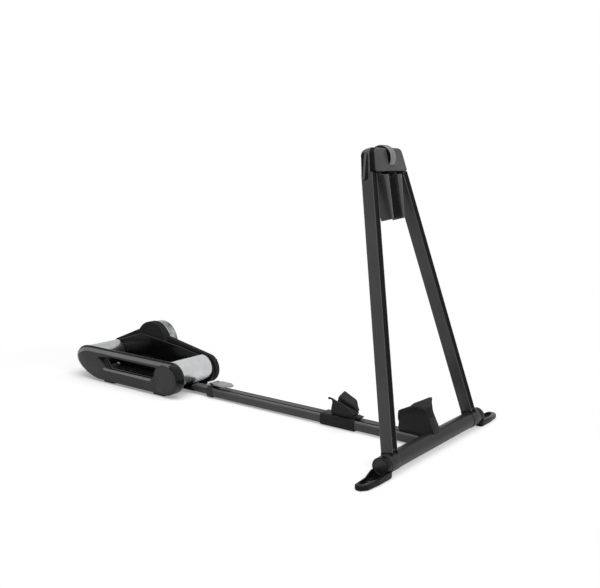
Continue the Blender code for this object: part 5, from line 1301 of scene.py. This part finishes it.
def add_housing():
    """Inner cover, and outer cover with the round hump behind the flywheel."""
    loop = inner_loop()
    inner = slab(loop, COVER_INNER_Y, COVER_SEAM_Y - GAP, "XZ", 0.0026, 0.0, 5)
    cutters = [slab(inset(loop, COVER_WALL), COVER_INNER_Y + COVER_WALL, COVER_SEAM_Y + 0.01,
                    "XZ")]
    cutters += [disc(AXLE_HOLE, 0.06, 0.1, (x, 0.0, z), steps=48)
                for x, z in (FRONT_DRUM, REAR_DRUM)]
    piece = replace_node("housing_inner_cover", carved(inner, cutters))
    split_across(piece.data, (0.0, 0.0, COVER_SHADE_Z), (0.0, 0.0, 1.0))
    # Painted highlight on the cover's upper rim, and painted shade on its face below COVER_SHADE_Z
    paint_faces(piece, ("rim_line", "side_shade"), cover_finish)
    roof = COVER_OUTER_Y - COVER_WALL
    outer = slab(housing_loop(), COVER_SEAM_Y, COVER_OUTER_Y, "XZ", 0.0008, 0.0045, 5)
    hump = carved(disc(HUMP_RADIUS, HUMP_INNER_Y, COVER_OUTER_Y, FLYWHEEL, 0.0018),
                  [slab(inset(loop, -GAP), 0.07, COVER_SEAM_Y, "XZ")])
    inlet = (REAR_DRUM[0] + 0.048, 0.0, COVER_BASE + 0.028)
    cutters = [slab(inset(loop, COVER_WALL), COVER_SEAM_Y - 0.01, roof, "XZ"),
               disc(HUMP_RADIUS - COVER_WALL, COVER_SEAM_Y + COVER_WALL, roof, FLYWHEEL),
               disc(AXLE_HOLE, roof - 0.01, COVER_OUTER_Y + 0.01, FLYWHEEL, steps=48),
               disc(INLET_HOLE, 0.1015, 0.13, inlet, steps=48)]
    replace_node("housing_outer_cover", carved(outer, cutters, [hump]), finish="cover")
    face = FROM_CROSSBAR @ Matrix.Translation((0.0, COVER_OUTER_Y - 0.0002, 0.0)) @ ALONG_Y
    spots = [(-0.945, 0.045), (-0.945, 0.095), (-1.48, 0.04), (-1.47, 0.095), (-1.1, 0.03),
             (-1.35, 0.03), (-1.36, 0.135), (-1.13, 0.115)]
    add_screws("housing_screws", "housing_outer_cover", [(x, -z, 0.0) for x, z in spots], face)


def add_housing_seal():
    """The foam strip that closes the belt covers on the tray."""
    low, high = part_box("base_tray")
    near = COVER_INNER_Y + 0.0045
    far = min(near + 0.006, high.y - 0.0005)
    rear = max(low.x + 0.004, HINGE_X + REAR_DRUM[0])
    front = min(high.x - 0.004, HINGE_X + FRONT_DRUM[0])
    strip = rounded_polygon(rectangle(rear, front, near, far), 0.002, 6)
    strip = slab(strip, high.z + 0.0001, COVER_BASE + 0.001 - GAP, "XY", 0.0002, 0.0002)
    add_piece("housing_seal", strip, "base_tray", WORLD, "joint_and_painted_shade")


def add_turned_metal():
    """The flywheel and the two drums, with finely rounded rims."""
    inner = FLYWHEEL_INNER_Y
    outer = inner + FLYWHEEL_WIDTH
    web = inner + FLYWHEEL_WEB
    rim = FLYWHEEL_RADIUS - FLYWHEEL_RIM
    loop = [(FLYWHEEL_BORE, inner), (FLYWHEEL_RADIUS, inner), (FLYWHEEL_RADIUS, outer),
            (rim + 0.004, outer), (rim, web + 0.004), (rim - 0.005, web), (0.021, web),
            (0.018, web + 0.006), (FLYWHEEL_BORE, web + 0.006)]
    radii = [0.0003, 0.0025, 0.003, 0.002, 0.003, 0.003, 0.002, 0.001, 0.0003]
    replace_node("flywheel", turned(rounded_polygon(loop, radii, 6), FLYWHEEL, 160))
    low, high = DRUM_NEAR_Y, DRUM_FAR_Y
    wall = DRUM_RADIUS - DRUM_WALL
    loop = rectangle(DRUM_BORE, DRUM_RADIUS, low, high)
    loop += [(DRUM_BORE, high - DRUM_WEB), (wall, high - DRUM_WEB), (wall, low + DRUM_WEB),
             (DRUM_BORE, low + DRUM_WEB)]
    radii = [0.0003, 0.0014, 0.0014, 0.0003, 0.0003, 0.001, 0.001, 0.0003]
    for name, (x, z) in (("front_drum", FRONT_DRUM), ("rear_drum", REAR_DRUM)):
        replace_node(name, turned(rounded_polygon(loop, radii, 5), (x, 0.0, z), 160))


def add_unit_trim():
    """Softened tray, pads and plates, and the screws that hold the tray."""
    softened("base_tray", 0.0006)
    softened("right_bearing_plate", 0.0005)
    for end in ("front", "rear"):
        for _, name in SIDES:
            softened(f"{name}_{end}_pad", 0.0012)
    spots = [(x, y, 0.0) for x in (-1.345, -1.3, -1.08, -1.035) for y in (-0.0125, 0.0125)]
    place = FROM_CROSSBAR @ Matrix.Translation((0.0, 0.0, TONGUE_SCREW_Z))
    add_screws("tongue_screws", "rear_rail", spots, place, 0.004, 0.0024)


add_side_frame()
add_housing()
add_housing_seal()
add_turned_metal()
add_unit_trim()

for node, item in NODES.items():
    item.data.materials.clear()
    item.data.materials.append(finish_of(node))


# Studio

FLOOR_Z = -0.0004


def white_mix(tree, plain, share, white):
    return add_node(tree, "ShaderNodeMixShader", {"Fac": share, 1: plain, 2: white})


def straight_rays(tree):
    """One for rays from the camera and for those that a mirror or clear part sends on."""
    rays = tree.nodes.new("ShaderNodeLightPath").outputs
    seen = math_node(tree, "MAXIMUM", rays["Is Camera Ray"], rays["Is Glossy Ray"])
    return math_node(tree, "MAXIMUM", seen, rays["Is Transmission Ray"])


def studio_floor():
    """A pale floor that shows the shadow near the trainer, lifted by painted light, and turns white
    further out.
    """
    bm = bmesh.new()
    bmesh.ops.create_circle(bm, cap_ends=True, segments=64, radius=40.0)
    floor = linked("studio_floor", mesh_of(bm, "studio_floor"))
    floor.location.z = FLOOR_Z
    material, tree, shader = new_material("floor_white")
    fill(tree, shader, {"Base Color": (0.9, 0.9, 0.9, 1.0), "Roughness": 0.7,
                        "Specular IOR Level": 0.1})
    away = add_node(tree, "ShaderNodeMapRange", {
        "Value": length_of(tree, object_coordinates(tree, (1.2, 2.2, 0.0))),
        "From Min": 1.0, "From Max": 1.7}, interpolation_type="SMOOTHSTEP")
    seen = math_node(tree, "MULTIPLY", straight_rays(tree), away)
    # Painted light: the camera sees the floor at least this white, which lifts the cast shadow,
    # more by the legs than by the unit
    painted_shadow_lift = add_node(tree, "ShaderNodeMapRange", {
        "Value": add_node(tree, "ShaderNodeSeparateXYZ", {"Vector": object_coordinates(tree)}),
        "From Min": -0.1, "From Max": 0.5, "To Min": 0.25, "To Max": 0.45})
    camera_rays = add_node(tree, "ShaderNodeLightPath", {}, "Is Camera Ray")
    least = math_node(tree, "MULTIPLY", camera_rays, painted_shadow_lift)
    share = math_node(tree, "MAXIMUM", seen, least)
    white = add_node(tree, "ShaderNodeEmission", {"Strength": 1.0})
    mixed = white_mix(tree, shader.outputs["BSDF"], share, white)
    fill(tree, tree.nodes["Material Output"], {"Surface": mixed})
    floor.data.materials.append(material)


def studio_world():
    """An even pale surround, white where the camera or a reflection sees it."""
    world = bpy.data.worlds.new("studio_world")
    bpy.context.scene.world = world
    world.use_nodes = True
    tree = world.node_tree
    lit = tree.nodes["Background"]
    fill(tree, lit, {"Color": (1.0, 1.0, 1.0, 1.0), "Strength": 0.55})
    white = add_node(tree, "ShaderNodeBackground", {
        "Color": (1.0, 1.0, 1.0, 1.0), "Strength": 1.0})
    mixed = white_mix(tree, lit.outputs["Background"], straight_rays(tree), white)
    fill(tree, tree.nodes["World Output"], {"Surface": mixed})


def set_up(name, data, place, direction):
    """Link a lamp or camera at a place, turned to look along a direction."""
    item = linked(name, data)
    item.location = place
    item.rotation_mode = "QUATERNION"
    item.rotation_quaternion = direction.to_track_quat("-Z", "Y")
    return item


def softbox(name, place, target, size, power):
    lamp = bpy.data.lights.new(name, "AREA")
    lamp.shape = "RECTANGLE"
    lamp.size, lamp.size_y = size
    lamp.energy = power
    set_up(name, lamp, place, Vector(target) - Vector(place))


def photo_camera():
    """The camera worked out from the photograph."""
    turn = math.radians(CAMERA_TURN_DEG)
    pitch = math.radians(CAMERA_PITCH_DEG)
    look = Vector((-math.sin(turn) * math.cos(pitch), math.cos(turn) * math.cos(pitch),
                   -math.sin(pitch)))
    lens = bpy.data.cameras.new("photo_camera")
    lens.sensor_width = SENSOR_WIDTH
    lens.lens = FOCAL_PIXELS * SENSOR_WIDTH / PHOTO_WIDTH
    lens.clip_start, lens.clip_end = 0.05, 200.0
    bpy.context.scene.camera = set_up("photo_camera", lens, CAMERA_PLACE, look)


studio_floor()
studio_world()
softbox("overhead_light", (0.3, -0.4, 2.6), (0.0, 0.0, 0.2), (3.0, 2.4), 60.0)
softbox("front_light", (2.8, -0.6, 1.5), (0.3, 0.0, 0.4), (1.6, 1.8), 28.0)
photo_camera()
bpy.context.scene.view_settings.view_transform = "Standard"
